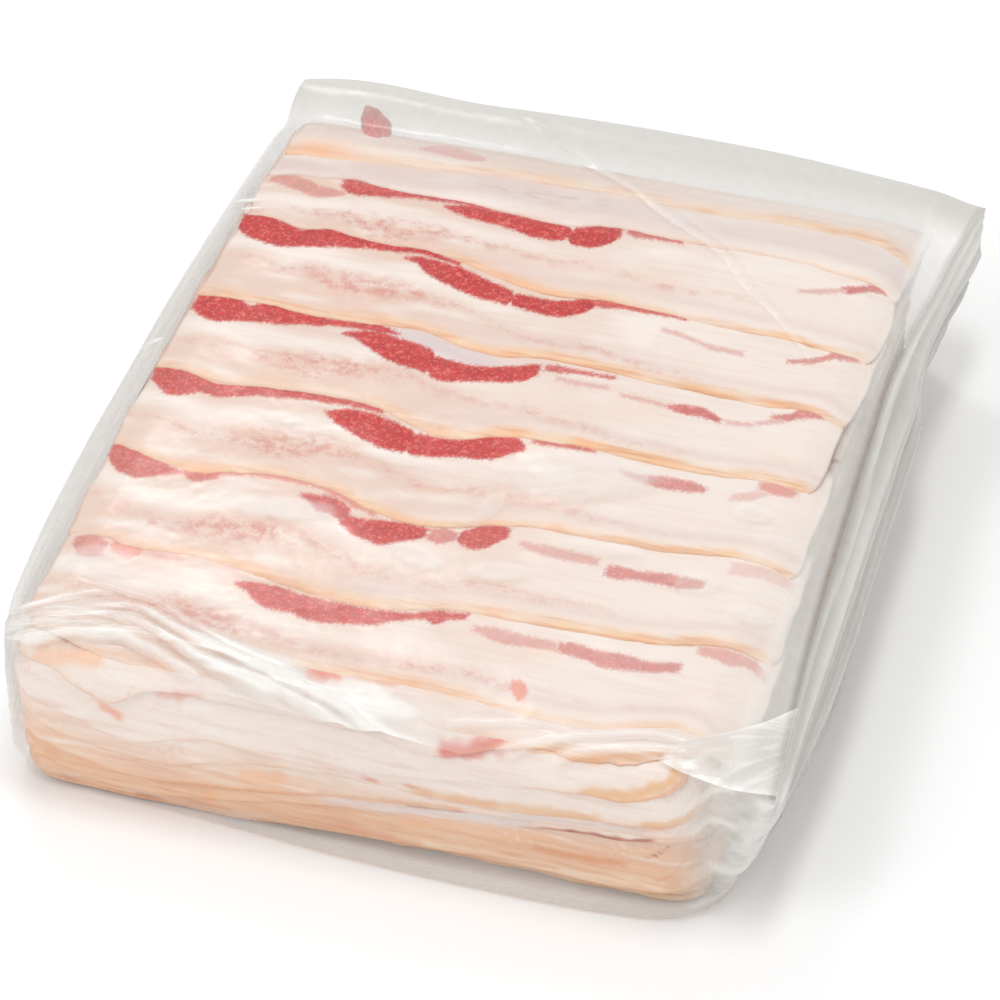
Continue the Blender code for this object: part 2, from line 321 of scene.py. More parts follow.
# The streaks of lean on each top slice: how red it is, how orange, and its outline as points along it,
# each with the y of the streak's back and front there. The slice behind covers what lies under it.
STREAKS = {
    1: [(0.5, 0.2, ((-82, 150, 147), (-76, 154, 146), (-68, 154, 145), (-60, 151, 145), (-56, 149, 147)))],
    3: [(0.5, 0, ((-132, 117, 113), (-126, 118, 110.5), (-118, 116.5, 108), (-111, 114, 106.5), (-105, 113, 108.5),
                  (-101, 113, 110.5))),
        (0.95, 0, ((-104, 120, 116), (-100, 124, 112.5), (-95, 124, 112), (-91, 122, 113), (-84, 121, 114.5),
                   (-75, 121, 116.5), (-66, 121, 117.3), (-57, 121, 118), (-47, 119.5, 116.8))),
        (1, 0, ((-62, 115.4, 114.4), (-57, 117, 112), (-52, 118, 110.5), (-46, 118, 109.5), (-38, 117.3, 109),
                (-30, 116.5, 107), (-24, 116.5, 105.7), (-17, 116, 105.8), (-12, 115.5, 107), (-8, 117, 104.6),
                (-2, 120, 104.6), (2, 121.5, 107), (5.5, 122, 110.5), (7, 121, 114))),
        (0.8, 0, ((9, 122, 117.5), (13, 122, 116), (18, 121.5, 117), (24, 120.5, 117.3), (31, 120, 117.6))),
        (0.4, 0, ((80, 102, 100.5), (88, 105, 102), (95, 108, 104.5), (100, 110.5, 106))),
        (0.75, 0, ((95, 108.5, 105.5), (99, 110, 105.3), (103, 111.5, 107.5), (107, 114, 109.5), (111, 113.5, 110),
                   (114, 111.5, 109), (117, 108, 106)))],
    4: [(1, 0, ((-134.5, 91.5, 83), (-131, 92, 78.5), (-126, 91, 75), (-120, 89, 73), (-114, 87.5, 72.3),
                (-110, 84.5, 73.5), (-105, 88.5, 75.5), (-100, 90, 76.5), (-95, 90, 78), (-89, 88, 79.7),
                (-80, 87, 81.5), (-70, 87, 82.6), (-62, 88, 84), (-55, 85.5, 82.6), (-46, 82.5, 81))),
        (1, 0, ((-67, 80.3, 79.2), (-62, 82, 78), (-57, 81.5, 73), (-52, 81, 70), (-45, 79.5, 67.5),
                (-39, 77.5, 65.5), (-33, 75.5, 64), (-26, 73, 63.5), (-20, 71, 62.7), (-12, 70.5, 62), (-5, 71, 61),
                (0, 72.5, 62), (4, 75, 64), (7, 75.5, 67), (9.5, 75, 71))),
        (0.9, 0.1, ((8, 77, 71), (14, 77, 71.5), (20, 76.5, 72.7), (28, 76, 72.7), (36, 76, 73), (44, 75, 73))),
        (0.4, 0, ((37, 66, 64), (44, 65, 63), (50, 63, 61), (58, 61, 58.5), (69, 60.5, 58))),
        (0.65, 0, ((86, 60.5, 59), (93, 63.5, 60.5), (98, 66.5, 63.5), (102, 71, 66.3), (106, 71, 66.8),
                   (111, 69.5, 68)))],
    5: [(1, 0, ((-135, 39, 31), (-131, 40, 26.5), (-126, 40, 23.5), (-122, 39, 22.5), (-118, 38, 24.5),
                (-114, 35, 26), (-109, 39, 27), (-101, 39, 28.3), (-92, 38, 31), (-82, 37.5, 33.2), (-74, 38, 34.3),
                (-64, 39, 34.3), (-56, 36, 34.4))),
        (1, 0, ((-76, 30.5, 29.5), (-70, 33, 28.3), (-66, 34.5, 25.5), (-61, 34.5, 22), (-55, 32.8, 19),
                (-48, 31.5, 17.2), (-42, 30, 16.5), (-38.5, 27, 14.5), (-34, 25.5, 13), (-29, 25.2, 13.6),
                (-22, 25.2, 16), (-15, 26.8, 18), (-8, 29.2, 19.6), (-3, 31.8, 22), (0, 32, 26))),
        (0.85, 0, ((2, 32.5, 29.5), (6, 33.5, 29), (12, 33, 30.3), (18, 32.5, 30.8), (28, 33.5, 31.7))),
        (0.35, 0, ((8, 27, 25), (16, 27, 24), (27, 27, 25))),
        (0.4, 0, ((32, 24.5, 22.7), (42, 24, 22), (51, 23.5, 21.3))),
        (0.8, 0, ((50, 23.5, 21.5), (54, 24.8, 20.5), (59, 25.6, 20), (64, 25.2, 20.3), (68, 23, 19),
                  (71, 20.5, 18.8))),
        (0.4, 0, ((73, 20.5, 18.8), (82, 22.5, 20), (88, 26.5, 23.5), (93, 31, 25.5))),
        (0.7, 0, ((88, 29, 25.5), (94, 31, 27), (97, 35, 29), (101, 36, 30.5), (106, 34, 31.5)))],
    6: [(0.9, 0, ((-136, -4, -12), (-131, -4, -18), (-127, -5, -21.5), (-122, -6, -22), (-119, -8.5, -20),
                  (-115, -9.5, -17), (-110, -9.5, -18), (-105, -8.5, -17), (-99, -7, -15), (-94, -7, -13),
                  (-88, -6, -12.5), (-80, -6, -11), (-70, -6, -10), (-60, -6, -9.2), (-48, -7.5, -10))),
        (1, 0, ((-68, -14.5, -15.6), (-64, -13, -18.5), (-60, -11, -21.5), (-55, -11, -24), (-49, -12, -26.8),
                (-43, -13.5, -29.3), (-36, -16, -29.3), (-28, -17.5, -29.3), (-20, -17.5, -27.5), (-14, -15.5, -25.8),
                (-8, -12, -25.2), (-2, -10, -24), (2, -10, -20.5), (4.5, -11, -18.5), (7, -13.5, -16.5))),
        (0.85, 0.1, ((9, -9, -11.5), (20, -8.5, -11), (32, -8.5, -10.6))),
        (0.45, 0, ((43, -17, -18.2), (49, -18, -21), (55, -18, -21.5))),
        (0.65, 0, ((54, -17.5, -22), (60, -16.2, -22.7), (66, -16.2, -22.5), (71, -16, -21.5), (75, -17.5, -20))),
        (0.3, 0, ((85, -19, -21.5), (92, -15, -20), (97, -12, -15))),
        (0.6, 0.3, ((93, -9.5, -13), (98, -8, -14.5), (103, -8, -14.2), (107, -10.5, -13)))],
    7: [(0.8, 0, ((-136, -50, -58), (-132, -50, -64), (-128, -52, -67.5), (-122, -55, -69), (-117, -56.5, -67),
                  (-112, -59.5, -64.5), (-107, -61, -63))),
        (0.75, 0.1, ((-106, -58, -62), (-103, -58, -65), (-98, -59, -64.5), (-93, -57, -61))),
        (0.6, 0.35, ((-93, -56, -60), (-88, -55, -58), (-80, -53.5, -56), (-68, -53, -55.7), (-57, -54, -56.6),
                     (-48, -57, -59.6), (-41, -60.5, -63.7), (-33, -63.5, -66))),
        (0.85, 0, ((-62, -61, -62.5), (-57, -60.5, -66), (-53, -60, -69), (-49, -60.5, -69), (-46, -62, -71),
                   (-42, -65.5, -73))),
        (0.95, 0, ((-44, -68, -73), (-39, -69, -77), (-34, -68.5, -79), (-29, -67.5, -80.3), (-24, -66.5, -79),
                   (-20, -66, -76.5), (-15, -66, -73), (-13, -67, -71))),
        (0.65, 0, ((-12, -66.5, -72), (-8, -65, -73.5), (-4, -65, -71.5), (-2, -66, -70))),
        (0.9, 0, ((-2, -65.5, -70), (1, -62.5, -72.5), (5, -59, -73), (9, -58, -71.5), (12, -57.5, -67),
                  (15, -58.5, -63.5))),
        (0.4, 0, ((20, -64, -66), (30, -64, -69), (38, -64.5, -69.5), (49, -65.5, -69))),
        (0.65, 0, ((53, -68, -73.5), (58, -67.5, -74.5), (64, -67.5, -72.2), (72, -66.5, -72), (80, -66, -72.5),
                   (87, -66.5, -70.5))),
        (0.25, 0.3, ((94, -54, -60), (104, -53, -59.5), (112, -54, -60), (118, -57, -61)))],
    8: [(0.6, 0, ((-131, -104, -108), (-127, -102, -114), (-123, -102, -115), (-119, -105, -112))),
        (0.7, 0.5, ((-117, -102, -108), (-113, -102, -110.5), (-109, -103, -111), (-106, -105, -108))),
        (0.3, 0, ((-106, -104, -107), (-99, -104.5, -108), (-91, -105, -107))),
        (0.9, 0, ((-69, -112.5, -114), (-64, -111, -116), (-60, -111, -120), (-55, -110.5, -122.5), (-51, -111, -123),
                  (-46, -112.5, -122), (-41, -112.5, -124), (-35, -113, -124), (-28, -113, -122.5),
                  (-21, -112.5, -121), (-15, -112, -119.5), (-10, -111.5, -116), (-4, -110.5, -113.5),
                  (0, -108, -112.5), (3.5, -106, -114), (7, -106.5, -111), (13, -105, -108))),
        (0.45, 0, ((17, -111, -113.5), (24, -110, -116), (30, -110.5, -117), (38, -111, -116), (47, -110.5, -115))),
        (0.65, 0, ((47, -111, -115), (52, -109.5, -116), (58, -111, -116.5), (64, -111, -119), (72, -111, -118.5),
                   (79, -112, -117), (90, -109.5, -114))),
        (0.5, 0.2, ((94, -99, -103), (100, -98, -104), (106, -98, -106), (111, -99, -103.5), (114, -100, -104.5),
                    (119, -105, -109))),
        (0.6, 1, ((37.5, -134, -138), (39.5, -133, -141), (42, -134.5, -143.5), (43.5, -138, -143)))],
    9: [(0.8, 0.9, ((-30.5, -145, -155), (-28, -144, -158), (-25, -144, -157), (-22, -145, -150),
                    (-19, -147, -152))),
        (0.4, 0.8, ((-20, -145.5, -148), (-10, -146, -148.2), (0, -146, -148)))],
}
# Thin pale cracks across the lean: slice, x, and the y it is at.
CRACKS = ((3, -11.3, 110), (5, -38.8, 20), (4, -21.5, 66), (6, -33, -23))


def streak_depth(x, y, outline):
    """How deep a point is inside a streak, in millimetres, below zero outside."""
    stations, back, front = [np.array(part, float) for part in zip(*outline)]
    inside = np.minimum(np.interp(x, stations, back) - y, y - np.interp(x, stations, front))
    from_end = np.minimum(x - stations[0], stations[-1] - x)
    return np.where(from_end > 0, np.minimum(inside, 0.4 + 0.9 * from_end), np.minimum(inside, from_end))


def lean_numbers(number, x, y):
    """Depth inside the lean of a slice, and how red and how orange that lean is."""
    wobble = 0.55 * noise(x / 6.0, y / 5.0 + number * 3, 161) + 0.35 * noise(x / 2.4, y / 3.0 + number, 162)
    depth = np.full_like(x, -9.0)
    redness, orange = np.zeros_like(x), np.zeros_like(x)
    for red, warm, outline in STREAKS.get(number, ()):
        here = streak_depth(x, y, outline)
        deeper = here > depth
        depth = np.where(deeper, here, depth)
        redness = np.where(deeper, red, redness)
        orange = np.where(deeper, warm, orange)
    for slice_number, crack_x, crack_y in CRACKS:
        if slice_number == number:
            shift = 0.6 * noise(y / 3.0, crack_x, 163)
            depth = depth - 2.6 * bell(x, crack_x + shift, 0.8) * bell(y, crack_y, 9.0)
    return np.maximum(depth + wobble * smooth_step(depth, -2.5, 1.0) + 0.1, -9.0), redness, orange


# How far in front of the edge behind it the faint second streak runs, from left to right.
PINK_STATIONS = (-130, -80, -30, 0, 40, 120)
PINK_MIDDLE = (26, 28, 25.5, 29.5, 33, 34)
PINK_SHIFT = {3: -4.0, 4: -0.5, 5: 1.5, 6: 2.0, 7: 3.0}


def pink_streak(number, x, y):
    """The faint second streak of lean along the middle of a slice, and the line it trails."""
    along = edge_line(number - 1, x) - y
    middle = curve(PINK_STATIONS, PINK_MIDDLE, x) + PINK_SHIFT.get(number, 0.0)
    middle = middle + 1.8 * noise(x / 22, number * 2.3, 41)
    width = 2.4 + 4.4 * bell(x, -77, 21)
    strength = 0.5 + 0.8 * bell(x, -77, 24) - 0.42 * smooth_step(x, 35, 80) - 0.2 * smooth_step(-x, 108, 130)
    patchy = 0.7 + 0.9 * noise(x / 7, along / 4 + number, 42)
    return np.clip(strength * patchy, 0, 1.2) * bell(along, middle, width)


def fine_columns(left, right, step):
    count = max(2, int(round((right - left) / step)))
    return np.linspace(left, right, count + 1)


def spread(first, last, count):
    """Columns of values from first on towards last, which they stop short of."""
    return first[:, None] + (last - first)[:, None] * np.linspace(0.0, 1.0, count, endpoint=False)


def slice_section(front, behind, back, z_top, thickness):
    """Rings of (y, z) for a slice: over the top from back to front, round the smoked edge and back
    underneath. They lie closest where its lean shows, in front of the slice behind."""
    covered = np.minimum(behind + 3.0, back - 0.5)
    lean_end = np.maximum(behind - 18.0, front + 6.0)
    y_top = np.hstack([spread(back, covered, 3), spread(covered, lean_end, 26), spread(lean_end, front + 4.5, 12),
                       spread(front + 4.5, front + 0.1, 6)])
    lip = z_top(front[:, None] + 0.3)
    edge_y = front[:, None] + np.array([[0.1, 0.0, 0.05, 0.3]])
    edge_z = lip - thickness * np.array([[0.25, 0.5, 0.8, 0.97]])
    y_low = spread(front + 3.0, back + 0.3 * (back - front), 4)
    y_low = np.minimum(y_low, back[:, None])
    return np.hstack([y_top, edge_y, y_low]), np.hstack([z_top(y_top), edge_z, z_top(y_low) - thickness])


def top_slice(number, material):
    """One slice of the top layer. It lies over the slice in front and under the slice behind."""
    left, right = ENDS[number - 1]
    x = fine_columns(left, right, 1.0)
    front = edge_line(number, x)
    behind = edge_line(number - 1, x)
    exposed = np.maximum(behind - front, 8.0)
    back = np.minimum(front + SLICE_WIDTH, BACK_FACE - 0.5)

    def height(y):
        slope = TOP_STEP * (y - front[:, None]) / np.maximum(exposed, 24.0)[:, None]
        curl = 0.4 * np.maximum(noise(x / 31 + 7.7 * number, number * 1.9, 61), 0)[:, None]
        from_edge = np.abs(y - front[:, None])
        lifted = curl * np.exp(-from_edge / 6.0)
        lip = 2.4 * np.exp(-from_edge / 3.5) if number == 9 else 0.6 * np.exp(-from_edge / 1.6)
        return block_top(x[:, None], y) - slope + lifted - lip

    ring_y, ring_z = slice_section(front, behind, back, height, TOP_STEP)
    ring = ring_y.shape[1]
    ring_x = np.repeat(x[:, None], ring, axis=1)
    end = 2.0 * noise(ring_y / 21.0, number * 4.1, 71)
    ring_x += end * (smooth_step(x, right - 25, right) + smooth_step(-x, -left - 25, -left))[:, None]
    # The front corners of a slice are rounded off.
    nose = 3.0 * np.exp(-np.maximum(ring_y - front[:, None], 0.0) / 3.0)
    ring_x -= nose * smooth_step(x, right - 8, right)[:, None]
    px, py, pz = ring_x.ravel(), ring_y.ravel(), ring_z.ravel()
    from_edge = py - np.repeat(front, ring)
    width = SMOKE_WIDTH[number - 1] * (1.0 + 0.35 * noise(px / 18.0, number * 6.1, 82))
    coloured = np.clip(curve(SMOKE_STATIONS, SMOKE[number - 1], px), 0.0, 1.0)
    coloured = coloured * (0.9 + 0.35 * noise(px / 11.0, number * 2.9, 81))
    smoke = coloured * np.exp(-(np.maximum(from_edge - 0.5 * width, 0.0) / (0.65 * width)) ** 2)
    orange_glow = 0.0 * px
    if number == 1:
        orange_glow = 0.9 * bell(px, -119, 15) * bell(from_edge, 5, 6)
        smoke = np.maximum(smoke, smooth_step(px, 45, 62) * bell(from_edge, 3.2, 3.4))
    if number == 6:
        orange_glow = 0.5 * bell(px, -101, 8) * bell(from_edge, 2, 4)
    if number == 3:
        orange_glow = 0.45 * bell(px, -22, 24) * bell(from_edge, 1.5, 3)
    along = np.repeat(behind, ring) - py
    skin = fat_colour(px, py, number * 5.7)
    skin = blend(skin, FAT_WHITE, 0.65 * smooth_step(px, 0, 70))
    # Painted shade: the fat is darker towards the left ends of the top slices, as if less light fell there.
    skin = blend(skin, FAT_PAINTED_SHADE, 0.65 * smooth_step(-px, -25, 50))
    skin = blend(skin, FAT_WHITE, 0.9 * bell(along, 17, 5.5) * smooth_step(-px, -30, 60))
    pale = smooth_step(noise(px / 24.0, py / 7.0 + number, 85), 0.0, 0.7)
    skin = blend(skin, FAT_WHITE, 0.7 * pale * smooth_step(-px, -30, 30))
    skin = blend(skin, FAT_COOL, 0.45 * bell(from_edge, 9.5, 2.6) * smooth_step(px, -45, -20))
    # Painted shadow: grey on slice 5 just in front of slice 4's edge, the shade under that edge.
    if number == 5:
        skin = blend(skin, FAT_GREY_SHADE, 0.95 * bell(px, -36, 30) * bell(along, 4.0, 6.0))
    # Painted shadow: grey and purple on slice 2 just in front of slice 1's edge, the shade under that edge.
    if number == 2:
        skin = blend(skin, FAT_GREY_SHADE, 0.5 * bell(along, 7, 8))
        painted_purple_shade = smooth_step(noise(px / 9.0, py / 2.2, 83), -0.2, 0.6) * bell(px, -28, 26) * bell(along, 7, 4)
        skin = blend(skin, PURPLE_SHADE, 0.55 * painted_purple_shade)
    streak = pink_streak(number, px, py) if number > 2 else 0.0 * px
    skin = blend(skin, PINK, 0.30 * streak)
    skin = blend(skin, SMOKED, 0.85 * smoke)
    skin = blend(skin, ORANGE, 0.55 * smoke * smooth_step(noise(px / 14.0, number * 8.3, 84), -0.1, 0.7))
    skin = blend(skin, ORANGE, np.clip(orange_glow, 0, 1))
    depth, redness, orange = lean_numbers(number, px, py)
    numbers = {"lean": depth, "redness": redness, "orange": orange, "pink": streak,
               "smoke": np.clip(smoke, 0.0, 1.0), "skin": skin}
    points = np.column_stack([px, py, pz])
    return make_piece(f"slice_{number}", points, tube_faces(len(x), ring), numbers, material)


def back_scrap(material):
    """A loose end of lean that lies behind the top slices, against the film."""
    rows, columns = 24, 28
    out, turn = np.meshgrid(np.linspace(0.0, 1.0, rows), np.linspace(0, 2 * math.pi, columns, endpoint=False),
                            indexing="ij")
    out, turn = out.ravel(), turn.ravel()
    edge = 1.0 + 0.10 * np.sin(3 * turn + 1.0) + 0.06 * np.sin(7 * turn)
    along, across = 11.5 * out * edge * np.cos(turn), 5.6 * out * edge * np.sin(turn)
    tilt = math.radians(118)
    x = -104.5 + along * math.cos(tilt) - across * math.sin(tilt)
    y = 161.0 + along * math.sin(tilt) + across * math.cos(tilt)
    z = 65.8 - 3.6 * out**2.5 + 0.3 * noise(x / 3, y / 3, 171)
    faces = []
    for i in range(rows - 1):
        for j in range(columns):
            k = (j + 1) % columns
            faces.append([i * columns + j, (i + 1) * columns + j, (i + 1) * columns + k, i * columns + k])
    base = rows * columns
    low = np.column_stack([x[-columns:], y[-columns:], z[-columns:] - 4.0])
    for j in range(columns):
        k = (j + 1) % columns
        faces.append([base - columns + j, base + j, base + k, base - columns + k])
    faces.append([base + j for j in reversed(range(columns))])
    points = np.vstack([np.column_stack([x, y, z]), low])
    px, py = points[:, 0], points[:, 1]
    numbers = {"lean": np.full_like(px, 4.0), "redness": np.full_like(px, 0.9), "orange": 0 * px, "pink": 0 * px,
               "smoke": 0 * px, "skin": fat_colour(px, py, 9.9)}
    return make_piece("back_scrap", points, faces, numbers, material)


def stack_wave(x, z):
    """How far the slices under the top ones ride up and down along the block."""
    return 0.9 * noise(x / 43.0, z / 22.0, 91) + 0.4 * noise(x / 15.0, z / 9.0, 92)


LAYER_PITCH = 3.1
LAYERS = 19
SLABS = 8


def lower_slab(gathered, layer, row, x_step):
    """One slice of a lower layer: row 0 is at the front, and each lies over the one in front."""
    seed = layer * 13.7 + row * 3.1
    shift = [hash_unit(layer, row, part) - 0.5 for part in range(4)]
    top = 5.2 + layer * LAYER_PITCH
    step = (LOWER_BACK - FRONT_FACE - SLICE_WIDTH) / (SLABS - 1)
    base = FRONT_FACE + row * step + (7.0 * shift[0] if row else 6.0 + 1.2 * shift[0])
    width = SLICE_WIDTH - (3.0 + 3.0 * shift[1] if row == SLABS - 1 else 0.0)
    left = LEFT_END + 2.0 + 5.0 * shift[2]
    right = RIGHT_END - 1.0 + 5.0 * shift[3] + 3.0 * (layer > 15 and row > 0)
    x = fine_columns(left, right, x_step)
    front = base + 1.6 * noise(x / 30.0, seed, 93) + 0.6 * noise(x / 7.0, seed, 94)
    if row == 0:
        front = front + front_face(x, np.full_like(x, top - 1.5)) - FRONT_FACE
    shares = np.array([1.0, 0.66, 0.33, 0.035, 0.007] if row == 0 else [1.0, 0.66, 0.33, 0.08, 0.02])
    depth = np.concatenate([width * shares, [0.0, 0.0], width * shares[::-1]])
    thick = 3.3 if row == 0 else THICKNESS
    below = np.array([0, 0, 0, 0.05, 0.2, 0.35, 0.75, 1, 1, 1, 1, 1]) * thick
    ring_y = front[:, None] + depth[None, :]
    slope = THICKNESS * (ring_y - front[:, None]) / step
    ring_z = top - below[None, :] - slope + stack_wave(x[:, None], top + 0 * ring_y)
    ring_z = np.maximum(ring_z, 0.9 + 0.02 * depth[None, :] / width - 0.01 * below[None, :])
    ring_x = np.repeat(x[:, None], len(depth), axis=1)
    turn = turned_back(-ring_y, BACK_CORNER, -LOWER_BACK, 400.0) + turned_back(ring_y, FRONT_CORNER, FRONT_FACE, 400.0)
    pull = np.minimum(turn, 12.0) * (smooth_step(ring_x, right - 40, right) - smooth_step(-ring_x, -left - 40, -left))
    ring_x = ring_x - pull * (row > 0)
    flat = [part.ravel() for part in (ring_x, ring_y, ring_z)]
    from_edge = flat[1] - np.repeat(front, len(depth))
    foot = 1.0 - smooth_step(flat[2], 20.0, 30.0)
    smoke = (0.35 + 0.65 * foot) * np.exp(-from_edge / 2.2) * (0.75 + 0.5 * noise(flat[0] / 13.0, seed, 95))
    smoke = np.clip(smoke, 0.0, 1.0)
    skin = blend(fat_colour(flat[0], flat[1], seed), SMOKED, smoke)
    numbers = {"lean": 4.0 * noise(flat[0] / 16.0, flat[1] / 9.0 + seed, 97) - 3.4,
               "redness": np.full_like(flat[0], 0.7), "orange": np.zeros_like(flat[0]),
               "pink": np.zeros_like(flat[0]), "smoke": smoke, "skin": skin}
    gathered.add(np.column_stack(flat), tube_faces(len(x), len(depth)), numbers)


def lower_layers(material):
    """The slices under the top ones, in two pieces: the front row is finer, because it shows."""
    rows, edges = Gathered(), Gathered()
    for layer in range(LAYERS):
        lower_slab(edges, layer, 0, 2.4)
        for row in range(1, SLABS):
            lower_slab(rows, layer, row, 12.0)
    return [rows.piece("lower_slices", material), edges.piece("front_slices", material)]


# ------------------------------------------------------------------ the slices hanging down the front

# The height of each hanging slice's edge from left to right, top slice first, and how much tan it has.
HANGING_STATIONS = (-136, -118, -108, -98, -86, -75, -60, -48, -35, -20, 0, 20, 40, 55, 70, 85, 98, 110, 128)
HANGING = (
    ((58, 57, 52, 48, 55, 57, 57, 57, 57, 57, 56, 54, 59.5, 61, 60.5, 61.5, 64, 66, 66),
     (0.5, 0.5, 0.5, 0.3, 0.1, 0.1, 0, 0, 0, 0, 0, 0.1, 0.4, 0.8, 0.9, 0.8, 0.5, 0.3, 0.3)),
    ((46, 39, 36, 32.5, 32, 36, 39.5, 38.5, 37.5, 37.5, 40, 43, 46, 48, 49.7, 50, 55, 61, 65),
     (0.2, 0.1, 0.1, 0.1, 0.1, 0.2, 0.2, 0.1, 0.1, 0.1, 0, 0, 0, 0.3, 0.9, 1, 1, 1, 1)),
    ((37, 29, 26, 24, 23, 23.5, 28.5, 31, 33.5, 34.5, 34.5, 33, 34, 35.5, 37.7, 38.8, 41, 46, 56),
     (0.5, 0.4, 0.3, 0.3, 0.3, 0.3, 0.3, 0.3, 0.4, 0.4, 0.4, 0.5, 0.7, 0.7, 0.6, 0.5, 0.8, 0.9, 0.9)),
    ((25, 20, 17, 14.5, 13.5, 15, 17, 18.5, 21, 24, 26.3, 28.5, 30.5, 31.5, 33.5, 34.5, 35.5, 36, 40),
     (0.7, 0.6, 0.6, 0.5, 0.5, 0.6, 0.8, 0.9, 1, 1, 0.8, 0.5, 0.1, 0.1, 0.2, 0.3, 0.5, 0.6, 0.6)),
    ((16, 11, 8, 6.5, 6.5, 8, 10, 12.5, 15.5, 18.8, 21, 23.7, 26.2, 28.3, 30, 30.7, 33.5, 34, 36),
     (0.8, 0.8, 0.8, 0.8, 0.8, 0.8, 0.7, 0.6, 0.3, 0.1, 0, 0, 0, 0.1, 0.2, 0.3, 0.6, 0.8, 0.8)),
    ((4, 2, 1.2, 1, 1, 1, 1.2, 2.6, 4, 5, 6.5, 7.5, 8, 8, 8, 8.3, 9, 11, 16),
     (1, 1, 1, 1, 1, 0.9, 0.8, 0.8, 0.8, 0.7, 0.6, 0.5, 0.3, 0.2, 0.2, 0.2, 0.3, 0.5, 0.6)),
)
# Marks on the front: points along each, its heights there, its half thickness, colour and strength. Some of the dark
# lines among them are painted shadows under sheet edges.
FRONT_MARKS = (
    ((-127, -116, -108, -101), (59.5, 60.5, 61, 61.3), 1.9, ORANGE, 0.6),
    ((-105, -97, -91, -88.5), (46.6, 48, 52, 57), 0.5, SMOKED_DARK, 0.5),
    ((-102, -98, -93), (45.5, 43.5, 41.8), 2.1, ORANGE_RED, 0.6),
    ((-81, -74, -64), (54.5, 55.7, 57.8), 1.5, LEAN_PALE, 0.6),
    ((-74.5, -71), (56, 56), 2.4, LEAN_PALE, 0.5),
    ((20, 26, 31, 36, 43), (57, 56.3, 57.5, 59.3, 61), 3.0, LEAN_SOFT, 0.95),
    ((42, 50, 60, 70, 80, 88, 97), (61.5, 63.5, 63, 62.7, 63.5, 66, 70), 2.4, ORANGE, 0.85),
    ((70, 78, 86, 93, 100, 106, 114), (51.3, 52, 52.8, 56, 59.6, 63, 67), 2.1, TAN, 1.0),
    # Painted shadow: a thin dark line under the tan band above it, where the sheet's edge overhangs.
    ((69, 78, 86, 93, 100, 108), (50.2, 50.2, 50.4, 53.3, 57, 61.5), 0.6, SMOKED_DARK, 1.0),
    ((-7, -1), (36.6, 36.2), 1.1, LEAN_SOFT, 0.7),
    ((8, 14, 19.5), (36.7, 36.2, 34.7), 0.9, LEAN_SOFT, 0.9),
    ((13, 18), (34.2, 33.9), 1.2, LEAN_SOFT, 0.8),
    ((21, 30, 41), (34.6, 35.2, 36.6), 1.2, LEAN_SOFT, 0.75),
    ((10, 25, 42, 60, 77), (35, 35.6, 36.4, 38.2, 39.5), 2.2, TAN, 0.75),
    ((91, 100, 107, 112, 115), (40.5, 43, 46.5, 51, 56), 1.7, TAN, 0.9),
    # Painted shadow: a thin dark line under the tan bands above it, where the sheets' edges overhang.
    ((60, 76, 92, 104), (34.2, 36.6, 38.2, 42.2), 0.6, SMOKED_DARK, 0.6),
    ((-62, -45, -30, -15, 0, 10, 29), (16.5, 19, 21.7, 24.6, 27, 28, 30.4), 1.2, SMOKED_DARK, 0.75),
    ((-52, -42, -34), (24, 26, 28), 3.2, ORANGE, 0.35),
    # The two dark slits under hanging slice edges: partly dark lean, partly painted shadow where the sheets overlap.
    ((5, 14, 22, 30), (25.6, 27.2, 28.4, 29.6), 0.65, LEAN_DARK, 0.7),
    ((49, 58, 66, 75, 85, 96), (27.2, 28.3, 29.6, 30.3, 30.9, 33.6), 1.35, LEAN_DARK, 1.0),
    ((-22, 0, 20, 40, 54), (20.4, 23.2, 26, 28.3, 29.9), 1.7, LILAC, 0.7),
    ((45, 60, 75, 93), (32.3, 34, 36.2, 37), 1.6, LILAC, 0.6),
    ((5, 20, 35, 50, 60), (18, 20, 21.5, 22.5, 23), 3.4, ORANGE, 0.42),
    ((53, 65, 75, 86), (17.3, 17.5, 18, 18.6), 1.5, SMOKED_DARK, 0.9),
    ((90.5, 93.5), (22.6, 23.3), 0.5, LEAN_DARK, 0.9),
    ((94.5, 98), (24.3, 26.6), 0.55, LEAN_DARK, 0.9),
    ((99, 101), (28.2, 30), 0.5, LEAN_DARK, 0.9),
    ((102, 104), (31.7, 33.2), 0.5, LEAN_DARK, 0.8),
    ((96, 103, 108, 112), (14, 17.5, 24, 33), 0.6, SMOKED_DARK, 0.6),
    ((88, 97, 104, 109), (12, 13.5, 18, 25), 0.5, SMOKED_DARK, 0.45),
    ((14, 40, 60, 80, 100), (9.5, 10, 10.5, 10.5, 12), 2.0, CREAM, 0.55),
    ((-91, -86, -80), (3.6, 3.6, 2.6), 1.6, LEAN_DARK, 0.75),
    ((-64.8, -61.2), (9.5, 9.5), 4.2, ORANGE, 0.85),
    ((-131, -124, -118), (22, 19, 17), 4.0, SMOKED_DARK, 0.45),
    ((-118, -112), (4.5, 3.5), 0.9, LEAN_DARK, 0.4),
    ((-20, -8, 4), (9, 8.5, 9), 1.3, LEAN_PALE, 0.35),
)
# The heights at which the front turns from pale to tan, from left to right, highest first.
TAN_LEVELS = (
    (46, 40, 36, 32.5, 32, 36, 39, 38, 37, 36, 35, 34, 34, 34, 34, 34, 34, 34, 34),
    (36, 30, 27, 24, 23, 24, 27, 30, 32, 31, 29, 27, 27, 28, 29, 30, 31, 33, 34),
    (27, 22, 19, 16, 15, 17, 19, 20, 21, 21, 21, 23, 25, 26, 27, 28, 30, 33, 34),
)


